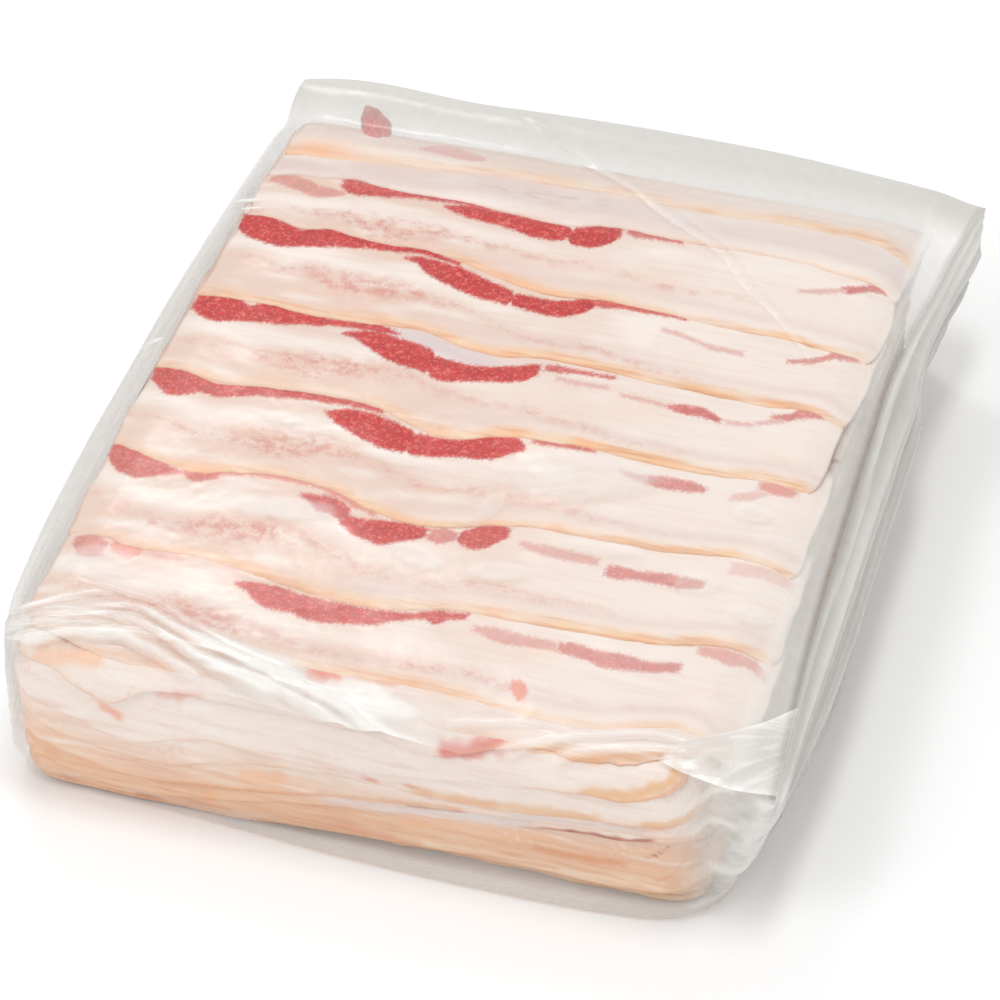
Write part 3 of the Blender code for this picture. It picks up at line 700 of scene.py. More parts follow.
def around_front(u):
    """A point of the block's front outline, seen from above, and the way out from it there."""
    bend_right = np.clip((u - (RIGHT_END - FRONT_CORNER)) / FRONT_CORNER, 0.0, math.pi / 2)
    bend_left = np.clip(((LEFT_END + LEFT_CORNER) - u) / LEFT_CORNER, 0.0, math.pi / 2)
    past_right = np.maximum(u - (RIGHT_END - FRONT_CORNER) - FRONT_CORNER * math.pi / 2, 0.0)
    past_left = np.maximum((LEFT_END + LEFT_CORNER) - u - LEFT_CORNER * math.pi / 2, 0.0)
    turn = bend_right - bend_left
    radius = np.where(turn > 0, FRONT_CORNER, LEFT_CORNER)
    x = np.clip(u, LEFT_END + LEFT_CORNER, RIGHT_END - FRONT_CORNER) + radius * np.sin(turn)
    y = FRONT_FACE + radius * (1.0 - np.cos(turn)) + past_right + past_left
    return x, y, np.sin(turn), -np.cos(turn)


def front_colours(x, z):
    """The colours of the front: pale above, smoked tan lower down, with marks of lean and tan."""
    skin = blend(fat_colour(x, z * 1.5, 60), FAT_WHITE, 0.55)
    streaky = 0.5 + 0.5 * noise(x / 34.0 + 0.05 * z, z / 2.6 + 0.9 * noise(x / 40.0, 0.3, 111), 107)
    for level, share in zip(TAN_LEVELS, (0.28, 0.38, 0.52)):
        height = curve(HANGING_STATIONS, level, x)
        skin = blend(skin, SMOKED_SOFT, share * (0.6 + 0.8 * streaky) * smooth_step(height - z, -1.5, 5.0))
    skin = blend(skin, SMOKED_DARK, 0.55 * smooth_step(streaky, 0.5, 0.9) * (1 - smooth_step(z, 6, 26)))
    skin = blend(skin, FAT_LINE, 0.5 * smooth_step(streaky, 0.55, 0.85) * (1 - smooth_step(z, 40, 60)))
    # Whiter streaks of fat along the front's sweeps, partly the fat's own colour and partly painted highlight.
    skin = blend(skin, FAT_WHITE, 0.8 * smooth_step(-streaky, -0.45, -0.1) * smooth_step(z, 14, 24))
    ragged = 1.0 + 0.45 * noise(x / 5.0, z / 3.0, 108)
    for stations, heights, half, paint, strength in FRONT_MARKS:
        height = np.interp(x, stations, heights) + 0.35 * noise(x / 4.0, half * 9.0, 109)
        ends = smooth_step(np.minimum(x - stations[0], stations[-1] - x), -1.5, 2.0)
        skin = blend(skin, paint, strength * ends * np.exp(-(((z - height) / (half * ragged)) ** 4)))
    flecks = smooth_step(noise(x / 2.2, z / 1.3, 110), 0.25, 0.6)
    flecked = bell(x, 46, 7) * bell(z, 20, 2.6) + bell(x, 84, 7) * bell(z, 23.5, 4.0)
    return blend(skin, FAT_WHITE, 0.85 * flecks * flecked)


def hanging_sheet(index, material):
    """A slice that bends over the front of the block and hangs down it, under the one above."""
    heights, tan = HANGING[index]
    u = fine_columns(LEFT_END - 16.0, RIGHT_END + 24.0, 1.1)
    edge_z = curve(HANGING_STATIONS, heights, u) + 0.5 * noise(u / 12.0, index * 4.7, 101)
    edge_z = edge_z + 0.25 * noise(u / 4.0, index * 4.7, 102)
    x, y, out_x, out_y = around_front(u)
    reach = np.concatenate([np.linspace(27.0, 2.0, 22), [1.4, 0.9, 0.5, 0.2]])
    up = np.concatenate([reach, [0.0, 0.1, 0.4], [1.2, 3.0, 8.0, 16.0, 27.0]])
    thick = 1.5
    inward = np.concatenate([0 * reach, [0.35, 0.9, 1.3], [thick] * 5])
    z = edge_z[:, None] + up[None, :]
    under = thick * up[None, :] / 16.0
    ripple = 0.5 * noise(u[:, None] / 23.0, z / 14.0 + index * 2.2, 103)
    curl = 0.7 * np.maximum(noise(u / 26.0, index * 7.1, 104), -0.2)[:, None] * np.exp(-up[None, :] / 5.0)
    out = 0.7 - 0.55 * index - under - inward[None, :] + ripple + curl
    over = np.clip(z - 49.6, 0.0, 14.9)
    out = out - (15.0 - np.sqrt(225.0 - over**2)) - 0.9 * np.maximum(z - 60.0, 0.0)
    foot = np.clip(9.0 - z, 0.0, 9.0)
    low_corner = 0.15 * turned_back(x, 30.0, LEFT_END, 400.0)[:, None] * (1 - smooth_step(z, 1.0, 20.0))
    out = out - 0.4 * (9.0 - np.sqrt(81.0 - foot**2)) - low_corner * smooth_step(-out_y, 0.0, 1.0)[:, None]
    z = np.minimum(z, 62.0 + 0.06 * (z - 62.0))
    px, py = x[:, None] + out_x[:, None] * out, y[:, None] + out_y[:, None] * out
    flat = [part.ravel() for part in (px, py, np.maximum(z, 0.8))]
    ring = len(up)
    from_edge = np.tile(up, len(u))
    along = np.repeat(u, ring)
    strength = np.clip(curve(HANGING_STATIONS, tan, along), 0, 1)
    toasted = strength * np.exp(-np.maximum(from_edge - 0.9, 0.0) / (0.5 + 1.0 * strength))
    smoke = np.clip(toasted * (0.9 + 0.4 * noise(along / 9.0, index * 3.3, 106)), 0.0, 1.0)
    skin = blend(front_colours(along, z.ravel()), SMOKED, 0.6 * smoke)
    # Each sheet's lower edge is darkened: partly its smoked rind, partly painted shade that marks where it overhangs
    # the sheet below.
    skin = blend(skin, SMOKED_DARK, (0.3 + 0.5 * strength) * np.exp(-from_edge / 0.7))
    nothing = np.zeros_like(along)
    numbers = {"lean": nothing - 9.0, "redness": nothing, "orange": nothing,
               "pink": 0.3 * smooth_step(noise(along / 30.0, from_edge / 8.0 + index, 105), 0.2, 0.7),
               "smoke": np.clip(0.5 * smoke + 0.8 * (1 - smooth_step(z.ravel(), 6, 36)), 0, 1), "skin": skin}
    return make_piece(f"hanging_slice_{index + 1}", np.column_stack(flat), tube_faces(len(u), ring), numbers, material)


# ------------------------------------------------------------------ the film bag

# The bag's outline where its top turns down into its sides, from front to back and left to right.
SIDE_STATIONS = (-160, -147, -110, -62, -10, 35, 69, 94, 122, 153, 172)
LEFT_CREASE = (-135.5, -140.5, -145.5, -147.5, -147.5, -147, -146, -145, -143.5, -140.5, -137)
RIGHT_CREASE = (135, 134, 131, 128, 126, 124.5, 124, 125.5, 128.5, 131.5, 137)
# The right side of the bag at five levels below the crease, down to the floor.
RIGHT_WALL = (
    (136, 136, 136, 136, 135.5, 135, 134.5, 132, 133, 137, 139.5),
    (133, 135, 138.5, 139.5, 138.5, 138, 136.5, 131.5, 131, 134.5, 136),
    (130, 132, 137, 137.5, 136.5, 136, 133.5, 129.5, 128, 131, 131),
    (121, 128, 131.5, 134.5, 133.5, 133, 131, 127.5, 125, 126, 126),
    (115, 120, 126, 131.5, 130.5, 129.5, 128, 124.5, 121, 121.5, 121.5),
)
WALL_LEVELS = (0.0, 0.13, 0.30, 0.52, 0.76, 1.0)
LEFT_BULGE = (-138, -142.5, -146.5, -148, -148, -147.5, -147, -146, -144, -141, -138)
FRONT_STATIONS = (-133, -118, -60, 0, 60, 100, 134)
FRONT_CREASE = (-161, -163, -164.5, -166, -165, -159.5, -157)
BACK_STATIONS = (-144, -136, -60, 0, 60, 80, 110, 136)
BACK_CREASE = (171, 173.5, 176, 177.5, 176.5, 175, 172.5, 170.5)
BACK_CREASE_Z = (68, 68.8, 69.6, 70.2, 69.8, 69.4, 68.8, 67)

# The gathered roll of film along the top front edge.
ROLL_STATIONS = (-139, -109, -91, -71, -54, -32, -13, 6, 32)
ROLL_MIDDLE = (-154, -148, -146, -148, -153, -158, -161, -163, -164)
# The creases of the top: points along each, its y there, its height, its width and how white it is.
CREASES = (
    ((-138, -125, -112, -104), (-148, -141, -134, -133), 1.8, 1.0, 0.5),
    ((-112, -104, -95, -86), (-142, -138.5, -137, -141), 1.2, 0.7, 0.4),
    ((-96, -92, -78, -60, -40, -20, 0, 18), (-138, -139, -146, -152, -156, -160, -166, -169), 2.4, 1.0, 0.55),
    ((-100, -84, -66, -44, -24, -6), (-143, -149, -155.5, -160, -164, -168), 1.4, 0.6, 0.35),
    ((-90, -76, -58, -36), (-146, -153, -159, -164), 1.1, 0.6, 0.3),
    ((-137, -124, -110, -95, -80, -64), (-164, -160, -156, -154, -158, -163), 2.0, 0.8, 0.5),
    ((-132, -118, -104, -92), (-154, -150, -146, -147), 1.0, 0.6, 0.3),
    ((-80, -66, -50, -34), (-138, -144, -149, -152), 0.9, 0.6, 0.3),
    ((-120, -104, -88, -74), (-128, -130, -133, -141), 0.7, 0.6, 0.25),
    ((38, 55, 70, 85, 103), (-166, -160, -155, -150, -148), 1.6, 0.8, 0.5),
    ((58, 73, 88, 104), (-165, -160, -155.5, -152.5), 0.9, 0.6, 0.4),
    ((20, 36, 52, 66), (-160, -157, -154, -153), 0.6, 0.6, 0.25),
    ((-50, -30, -12, 5, 21, 39, 48, 60, 73, 86, 96), (175, 163.5, 153, 142, 130, 119, 112, 97, 85, 71, 58),
     0.8, 0.7, 0.24),
    ((24, 36, 50, 66, 82), (135, 127, 117, 99, 81), 0.45, 0.7, 0.14),
    ((34, 41, 48), (-4, 20, 44), 0.35, 0.6, 0.10),
)
# Patches of the top made milky, partly the film's own milkiness and partly painted glare of the lights: x, y, half
# length, half width, slant and strength.
MILK_AND_GLARE_PATCHES = (
    (-83, -25, 8, 2.5, 0.0, 0.45), (-66, -73, 20, 6, 0.1, 0.40), (-38, -35, 14, 3, 0.0, 0.25),
    (-12, -84, 9, 5, -0.3, 0.45), (28, -27, 27, 13, 0.15, 0.50), (18, -84, 10, 5, 0.2, 0.40),
    (95, -28, 7, 5, 0.0, 0.40), (108, -81, 7, 5, 0.0, 0.35), (48, -62, 14, 4, 0.1, 0.35),
    (85, -70, 8, 6, 0.0, 0.30), (-118, -118, 14, 8, 0.1, 0.35), (-60, -131, 24, 7, -0.2, 0.10),
    (60, -130, 30, 8, 0.0, 0.15), (5, -50, 4, 7, 0.6, 0.30),
    (-28, -154, 42, 6, -0.16, 0.55), (-118, -143, 16, 5, 0.3, 0.3),
    (-135, 97, 5, 0.9, 0.1, 0.9), (-132, 92, 4, 0.9, 0.1, 0.8), (-143, 8, 4, 0.9, 0.1, 0.9),
)


def film_wrinkles(x, y):
    """Small wrinkles of the film over the slices, in millimetres."""
    slanted, across = 0.82 * x + 0.57 * y, 0.82 * y - 0.57 * x
    loose = smooth_step(noise(x / 55, y / 55, 120), -0.3, 0.6)
    broad = 0.45 * noise(slanted / 52, across / 24, 121) + 0.16 * noise(x / 18, y / 13, 122)
    sharp = ridged_noise(slanted / 30, across / 12, 123, 2) - 0.55
    return broad + 0.45 * loose * sharp


def crease(distance, width):
    """The section of a crease: a narrow ridge with a shallow dip along one side."""
    return np.exp(-np.abs(distance) / width) - 0.5 * bell(distance, 2.6 * width, 2.0 * width)


def film_top_height(x, y):
    """How high the film over the top lies."""
    ahead = 1.6 * smooth_step(-y, 149, 160)
    z = block_top(np.clip(x, -137, 121), np.clip(y + ahead, -165, BACK_FACE)) + 1.6
    back = smooth_step(y, 150, 172)
    z = z * (1 - back) + (curve(BACK_STATIONS, BACK_CREASE_Z, x) + 0.3 * noise(x / 50, 1.0, 131)) * back
    right_z = 60.5 - 3.5 * smooth_step(-y, 105, 158) + 5.0 * back
    right_x = curve(SIDE_STATIONS, RIGHT_CREASE, y)
    z = z + (right_z - z) * smooth_step(x, 117, right_x)
    left_x = curve(SIDE_STATIONS, LEFT_CREASE, y)
    turned = np.clip((-136.5 - x) / np.maximum(-136.5 - left_x, 3.0), 0.0, 1.0)
    return z - 6.5 * (1 - back) * turned**2


def roll_place(x, y):
    """How far in front of the middle of the gathered roll a point is, and how full the roll is there."""
    ahead = curve(ROLL_STATIONS, ROLL_MIDDLE, x) - y
    return ahead, 1.0 - smooth_step(x, -75, 30)


def film_top_point(u, v):
    """A point of the film's top for u from left to right and v from front to back."""
    x0, y0 = -133 + 262 * u, -161 + 332 * v
    left, right = curve(SIDE_STATIONS, LEFT_CREASE, y0), curve(SIDE_STATIONS, RIGHT_CREASE, y0)
    front = curve(FRONT_STATIONS, FRONT_CREASE, x0)
    x = left + (right - left) * u
    y = front + (curve(BACK_STATIONS, BACK_CREASE, x) - front) * v
    z = film_top_height(x, y)
    inner = smooth_step(u, 0.0, 0.05) * (1 - smooth_step(u, 0.955, 1.0)) * (1 - smooth_step(v, 0.97, 1.0))
    over_back = smooth_step(y, 138, 152)
    z = z + film_wrinkles(x, y) * inner * (1.0 - 0.75 * over_back)

    ahead, full = roll_place(x, y)
    gather = 0.3 + 0.7 * smooth_step(x, -141, -100)
    folds = ridged_noise(x / 60, ahead / (6.5 * gather) + 0.02 * x, 133, 3) - 0.45
    roll = bell(ahead, 0.5, 7.0) * full
    z = z + roll * (2.6 + 2.4 * folds)
    y = y - roll * (1.2 + 1.2 * folds)
    for stations, line, height, width, _ in CREASES:
        present = smooth_step(np.minimum(x - stations[0], stations[-1] - x), -2.0, 8.0)
        wander = 0.6 * noise(x / 9.0, line[0] / 7.0, 134)
        away = curve(stations, line, x) - y + wander
        z = z + height * present * crease(away, width) * (0.8 + 0.3 * noise(x / 6.0, line[0], 135))
    return x, y, z


def film_top_haze(x, y):
    """How white the film is: most where it is gathered, doubled or not clinging, and in patches where glare of the
    lights is painted in as milky white.
    """
    facets = ridged_noise(x / 22, y / 13, 125, 2)
    haze = 0.004 + 0.04 * smooth_step(facets, 0.65, 0.95) + 0.03 * smooth_step(-y, 40, 100)
    haze = haze + 0.16 * smooth_step(y, 108, 132) + 0.14 * smooth_step(y, 132, 150)
    haze = haze + 0.34 * smooth_step(y, 150, 165)
    right_x = curve(SIDE_STATIONS, RIGHT_CREASE, y)
    haze = haze + 0.12 * smooth_step(x, 100, 114) + 0.40 * smooth_step(x, 114, 119)
    haze = haze - 0.25 * smooth_step(x, right_x - 2.5, right_x)
    haze = haze + 0.42 * (1 - smooth_step(x, -144, -134))
    # Milky patches, partly painted glare of the lights.
    for middle_x, middle_y, long, wide, slant, strength in MILK_AND_GLARE_PATCHES:
        along, across = (x - middle_x) / long, (y - middle_y - slant * (x - middle_x)) / wide
        spot = 1.0 - smooth_step(along**2 + across**2 + 0.9 * (facets - 0.5), 0.5, 1.5)
        haze = haze + 0.8 * strength * spot * (0.7 + 0.5 * facets)
    ahead, full = roll_place(x, y)
    lines = smooth_step(ridged_noise(x / 60, ahead / 6.5 + 0.02 * x, 133, 3), 0.5, 0.95)
    haze = haze + (0.22 + 0.45 * lines) * bell(ahead, 1.5, 9.0) * full
    haze = haze + 0.34 * smooth_step(-y, 146, 158) * smooth_step(x, -80, -40) * (1 - 0.9 * smooth_step(x, 10, 50))
    for stations, line, height, width, white in CREASES:
        present = smooth_step(np.minimum(x - stations[0], stations[-1] - x), -2.0, 8.0)
        away = curve(stations, line, x) - y + 0.6 * noise(x / 9.0, line[0] / 7.0, 134)
        haze = haze + white * present * (bell(away, -0.4, 0.9 + width) - 0.35 * bell(away, 2.4, 0.8))
    haze = haze - 0.22 * bell(x, -105, 9) * bell(y, 161, 11)
    haze = haze * (1 - 0.8 * bell(x, -25, 8) * bell(y, -150, 6))
    return np.clip(haze, 0.0, 0.9)


def grid_faces(rows, columns):
    i, j = np.meshgrid(np.arange(rows - 1), np.arange(columns - 1), indexing="ij")
    first = (i * columns + j).ravel()
    return np.column_stack([first, first + columns, first + columns + 1, first + 1]).tolist()


def film_top(material):
    # The rows lie closest at the front, where the film is gathered.
    u = np.linspace(0, 1, 270)
    v = np.concatenate([np.linspace(0, 0.13, 110, endpoint=False), np.linspace(0.13, 1, 250)])
    shape = (len(u), len(v))
    u, v = [part.ravel() for part in np.meshgrid(u, v, indexing="ij")]
    x, y, z = film_top_point(u, v)
    right_x = curve(SIDE_STATIONS, RIGHT_CREASE, y)
    # The film is greyed as painted shade at the right crease, along the left edge and over the back band.
    numbers = {"haze": film_top_haze(x, y),
               "painted_shade_grey": 0.65 * smooth_step(x, right_x - 3, right_x - 1) + 0.6 * (1 - smooth_step(x, -146, -138))
                       + 0.8 * smooth_step(y, 148, 166)}
    return make_piece("film_top", np.column_stack([x, y, z]), grid_faces(*shape), numbers, material)


FLAP_TOP = ((96, -149, 65.2), (112, -139, 65.0), (124, -129, 64.2), (133, -117, 62.5))
FLAP_LOW = ((94, -155, 63.8), (105, -158.5, 63.2), (121, -160.5, 62.2), (136, -158, 61.0))


def film_flap(material):
    """The ear of doubled film that lies folded over the front right corner."""
    s, t = np.meshgrid(np.linspace(0, 1, 90), np.linspace(0, 1, 44), indexing="ij")
    s, t = s.ravel(), t.ravel()
    at = (0.0, 0.38, 0.7, 1.0)
    upper = [curve(at, part, s) for part in zip(*FLAP_TOP)]
    lower = [curve(at, part, s) for part in zip(*FLAP_LOW)]
    x, y, z = [high + (low - high) * t for high, low in zip(upper, lower)]
    turn = np.arctan2(y + 124.0, 152.0 - x)
    rays = ridged_noise(turn * 7.0, 0.4 + np.hypot(x - 152, y + 124) / 45.0, 136, 2) - 0.5
    z = z + 1.2 * np.sin(np.pi * np.clip(t, 0, 1)) ** 0.6 + 0.9 * rays * smooth_step(t, 0.0, 0.15)
    y = y - 1.2 * t - 0.8 * rays * t
    rim = bell(t, 1.0, 0.06) + bell(t, 0.0, 0.05)
    haze = 0.54 + 0.26 * smooth_step(rays, 0.0, 0.4) + 0.2 * rim - 0.18 * bell(x, 131, 6) * bell(y, -141, 9)
    haze = haze * smooth_step(s, 0.0, 0.12) * (1 - 0.5 * smooth_step(s, 0.88, 1.0))
    # The hollows between the rays are greyed as painted shade.
    numbers = {"haze": np.clip(haze, 0, 0.85), "painted_shade_grey": 0.12 * smooth_step(-rays, 0.0, 0.3)}
    return make_piece("film_flap", np.column_stack([x, y, z]), grid_faces(90, 44), numbers, material)


FOOT_STATIONS = (-137, -90, -57, -20, 30, 90, 126)
FOOT_LINE = (-163, -164, -166, -169, -171, -169, -163)


def bottom_outline(side, share):
    """Where the bag meets the floor: share runs along the front, right, back and left side in turn."""
    low_x, high_x, low_y, high_y, left_corner, corner = -137.0, 122.0, -163.0, 165.0, 15.0, 26.0
    if side == "front" or side == "back":
        t = share if side == "front" else 1 - share
        x = low_x + (high_x - low_x) * t
        round_off = turned_back(x, left_corner, low_x, 400.0) + turned_back(x, corner, -400.0, high_x)
        y = curve(FOOT_STATIONS, FOOT_LINE, x) + round_off if side == "front" else high_y - round_off
    else:
        t = share if side == "right" else 1 - share
        low_corner = corner if side == "right" else left_corner
        y = low_y + low_corner + (high_y - low_y - 2 * low_corner) * t
        x = curve(SIDE_STATIONS, RIGHT_WALL[-1], y) if side == "right" else low_x - 3.0 * np.sin(np.pi * t)
    return x, y


def film_sides(material):
    """The film from the top's outline down to the floor, round the whole bag, in one strip."""
    counts = {"front": 262, "right": 300, "back": 200, "left": 300}
    tops, bottoms, where = [], [], []
    for side, count in counts.items():
        share = np.linspace(0, 1, count, endpoint=False)
        u = {"front": share, "right": 1 + 0 * share, "back": 1 - share, "left": 0 * share}[side]
        v = {"front": 0 * share, "right": share, "back": 1 + 0 * share, "left": 1 - share}[side]
        tops.append(np.column_stack(film_top_point(u, v)))
        bottoms.append(np.column_stack(bottom_outline(side, share)))
        where.append(np.full(count, list(counts).index(side)))
    top, bottom, where = np.concatenate(tops), np.concatenate(bottoms), np.concatenate(where)
    front, right, back, left = [(where == index).astype(float) for index in range(4)]
    corner_y = smooth_step(-top[:, 1], 120, 150)
    # Each side's share fades in at the corners, so that the strip turns them smoothly.
    kernel = np.ones(17) / 17
    front, right, back, left = [
        np.convolve(np.concatenate([part[-8:], part, part[:8]]), kernel, "valid")
        for part in (front, right, back, left)]
    h = np.concatenate([np.linspace(0, 0.5, 48), np.linspace(0.5, 1, 32)[1:]])[None, :]
    start_x, start_y, start_z = [top[:, [axis]] for axis in range(3)]
    x = start_x + (bottom[:, [0]] - start_x) * h
    y = start_y + (bottom[:, [1]] - start_y) * h
    z = start_z + (0.7 - start_z) * h

    profile = [part[:, None] for part in (front, right, back, left)]
    side_y = np.clip(start_y, -160, 172)
    # The right side: pleats near the top, then a full bulge.
    wall = [curve(SIDE_STATIONS, level, side_y) for level in (RIGHT_CREASE,) + RIGHT_WALL]
    wall_x = wall[0] + 0 * h
    for index in range(len(wall) - 1):
        reached = smooth_step(h, WALL_LEVELS[index], WALL_LEVELS[index + 1])
        wall_x = wall_x + (wall[index + 1] - wall[index]) * reached
    x = x + profile[1] * (wall_x - x) * smooth_step(h, 0.0, 0.04)
    swell = np.sin(np.pi * np.clip(h, 0, 1) ** 0.72)
    left_x = curve(SIDE_STATIONS, LEFT_BULGE, side_y)
    x = x + profile[3] * (left_x - 0.5 * (start_x + bottom[:, [0]])) * swell
    # The front hugs the slices, and hangs loose under them.
    hug = front_face(np.clip(x, -131, 113), np.clip(z, 4, 60)) - 2.5
    loose = smooth_step(z, 3, 15) * smooth_step(h, 0.0, 0.12)
    y = y + profile[0] * (hug - y) * loose
    # The back is slack: it bows in over the slices' back edges.
    y = y - profile[2] * 9.0 * np.sin(np.pi * h) ** 0.7

    run = np.cumsum(np.concatenate([[0], np.hypot(*np.diff(top[:, :2], axis=0).T)]))[:, None]
    taper = smooth_step(h, 0, 0.06) * (1 - smooth_step(h, 0.94, 1.0))
    pleat = 0.0
    for place, width, seed in ((0.045, 0.010, 1), (0.10, 0.013, 2), (0.15, 0.009, 3), (0.30, 0.010, 4)):
        wander = 0.022 * noise(run / 90.0, seed * 2.3, 141)
        pleat = pleat + np.exp(-np.abs(h - place - wander) / width)
    x = x + profile[1] * taper * (1.4 * pleat - 0.8)
    drape = 0.9 * (ridged_noise(run / 60.0, h * 4.0, 142, 3) - 0.5)
    slant = 1.0 * (ridged_noise(run / 70.0, h * 8.0 + run / 34.0, 143, 2) - 0.5)
    crumple = 0.35 * (ridged_noise(run / 16.0, h * 5.0, 144, 2) - 0.5)
    long_folds = 0.9 * (ridged_noise(run / 190.0, h * 13.0, 146, 2) - 0.5)
    out_x = profile[1] - profile[3]
    out_y = profile[2] - profile[0]
    flat_side = np.clip(profile[1] + 0.8 * profile[3], 0.0, 1.0)
    relief = taper * ((drape + slant + crumple) * (1.0 - 0.88 * flat_side) + long_folds * flat_side)
    corner = smooth_step(x, 104, 114) * (1 - smooth_step(y, -150, -132)) * taper
    crushed = corner * (ridged_noise((x - y) / 26.0 + z / 30.0, z / 24.0 - x / 40.0, 148, 3) - 0.5)
    x, y = x + out_x * relief + 1.3 * crushed, y + out_y * relief - 2.0 * crushed

    foot = smooth_step(h, 0.86, 0.96)
    streaks = 0.5 + 0.5 * noise(run / 220.0, h * 30.0, 145)
    lines = smooth_step(ridged_noise(run / 70.0, h * 8.0 + run / 34.0, 143, 2), 0.75, 1.0)
    haze = profile[1] * (0.56 + 0.26 * streaks) + (0.38 + 0.16 * streaks) * profile[3] + 0.40 * profile[2]
    under_roll = (1 - smooth_step(h, 0.02, 0.22)) * (1 - smooth_step(x, -40, 30))
    haze = haze + profile[0] * (0.02 + 0.10 * lines + 0.12 * under_roll + 0.4 * foot * smooth_step(x, -90, -50))
    haze = haze + profile[1] * 0.14 * np.clip(pleat, 0, 1)
    facets = ridged_noise(x / 20.0, z / 12.0, 147, 2)
    # Painted reflection: glare of the lights painted as milky white on the front film.
    glare = smooth_step(x, -38, -30) * (1 - smooth_step(x, 30, 70)) * smooth_step(z, 22, 28)
    glare = glare * (1 - smooth_step(z, 46, 52)) * (0.25 + 0.5 * facets)
    glare = glare + 0.5 * facets * smooth_step(z, 40, 52) * (1 - smooth_step(z, 58, 64)) * smooth_step(x, -135, -115)
    haze = haze + profile[0] * (0.26 * glare + 0.05 * facets)
    haze = haze + profile[0] * 0.4 * smooth_step(x, 98, 118) * (1 - smooth_step(h, 0.6, 1.0))
    # Painted shade: the film is greyed on the right and left sides, at the back and at the foot of the front, less
    # along the right side's pleats and at the crushed corner.
    painted_shade_grey = profile[1] * (1.0 - 0.75 * np.clip(pleat, 0, 1) - 0.25 * streaks) + 0.7 * profile[3]
    painted_shade_grey = painted_shade_grey + 0.4 * profile[2] + 0.7 * foot * profile[0]
    haze = haze + 0.2 * smooth_step(crushed, 0.0, 0.3)
    painted_shade_grey = painted_shade_grey * (1 - 0.7 * corner)
    shape = (len(top), h.shape[1])
    flat = [np.broadcast_to(part, shape).ravel() for part in (x, y, z)]
    rows, columns = shape
    i, j = [part.ravel() for part in np.meshgrid(np.arange(rows), np.arange(columns - 1), indexing="ij")]
    following = (i + 1) % rows
    faces = np.column_stack([i * columns + j, i * columns + j + 1, following * columns + j + 1,
                             following * columns + j])
    numbers = {"haze": np.clip(np.broadcast_to(haze, shape).ravel(), 0, 0.95),
               "painted_shade_grey": np.clip(np.broadcast_to(painted_shade_grey, shape).ravel(), 0, 1)}
    return make_piece("film_sides", np.column_stack(flat), faces.tolist(), numbers, material)


# ------------------------------------------------------------------ materials

class Nodes:
    """Short names for the nodes of one material."""

    def __init__(self, name):
        self.material = bpy.data.materials.new(name)
        self.material.use_nodes = True
        self.tree = self.material.node_tree
        self.tree.nodes.clear()
        self.output = self.tree.nodes.new("ShaderNodeOutputMaterial")

    def join(self, target, value):
        if isinstance(value, bpy.types.NodeSocket):
            self.tree.links.new(value, target)
        else:
            target.default_value = value

    def number(self, name):
        node = self.tree.nodes.new("ShaderNodeAttribute")
        node.attribute_name = name
        return node.outputs["Fac"]

    def place(self, scale=(1, 1, 1)):
        """Object coordinates in millimetres, stretched by scale."""
        node = self.tree.nodes.new("ShaderNodeTexCoord")
        mapping = self.tree.nodes.new("ShaderNodeMapping")
        mapping.inputs["Scale"].default_value = [part / MM for part in scale]
        self.tree.links.new(node.outputs["Object"], mapping.inputs["Vector"])
        return mapping.outputs["Vector"]

    def noise(self, scale, detail=2.0, rough=0.5, stretch=(1, 1, 1), distortion=0.0):
        node = self.tree.nodes.new("ShaderNodeTexNoise")
        node.inputs["Scale"].default_value = scale
        node.inputs["Detail"].default_value = detail
        node.inputs["Roughness"].default_value = rough
        node.inputs["Distortion"].default_value = distortion
        self.tree.links.new(self.place(stretch), node.inputs["Vector"])
        return node.outputs["Fac"]

    def math(self, operation, first, second=0.0, third=0.0, clamp=False):
        node = self.tree.nodes.new("ShaderNodeMath")
        node.operation = operation
        node.use_clamp = clamp
        for socket, value in zip(node.inputs, (first, second, third)):
            self.join(socket, value)
        return node.outputs[0]

    def between(self, value, low, high, first=0.0, last=1.0):
        node = self.tree.nodes.new("ShaderNodeMapRange")
        node.interpolation_type = "SMOOTHSTEP"
        for socket, part in zip(node.inputs[:5], (value, low, high, first, last)):
            self.join(socket, part)
        return node.outputs[0]

    def mix(self, share, first, second, blend="MIX"):
        node = self.tree.nodes.new("ShaderNodeMix")
        node.data_type = "RGBA"
        node.blend_type = blend
        self.join(node.inputs[0], share)
        self.join(node.inputs[6], first)
        self.join(node.inputs[7], second)
        return node.outputs[2]

    def mix_shaders(self, share, first, second):
        node = self.tree.nodes.new("ShaderNodeMixShader")
        self.join(node.inputs[0], share)
        self.join(node.inputs[1], first)
        self.join(node.inputs[2], second)
        return node.outputs[0]

    def bump(self, height, distance, strength=1.0):
        node = self.tree.nodes.new("ShaderNodeBump")
        node.inputs["Strength"].default_value = strength
        node.inputs["Distance"].default_value = distance * MM
        self.tree.links.new(height, node.inputs["Height"])
        return node.outputs["Normal"]

    def shader(self, kind, **settings):
        node = self.tree.nodes.new(kind)
        for name, value in settings.items():
            self.join(node.inputs[name.replace("_", " ")], value)
        return node

    def finish(self, shader):
        self.tree.links.new(shader, self.output.inputs["Surface"])
        return self.material


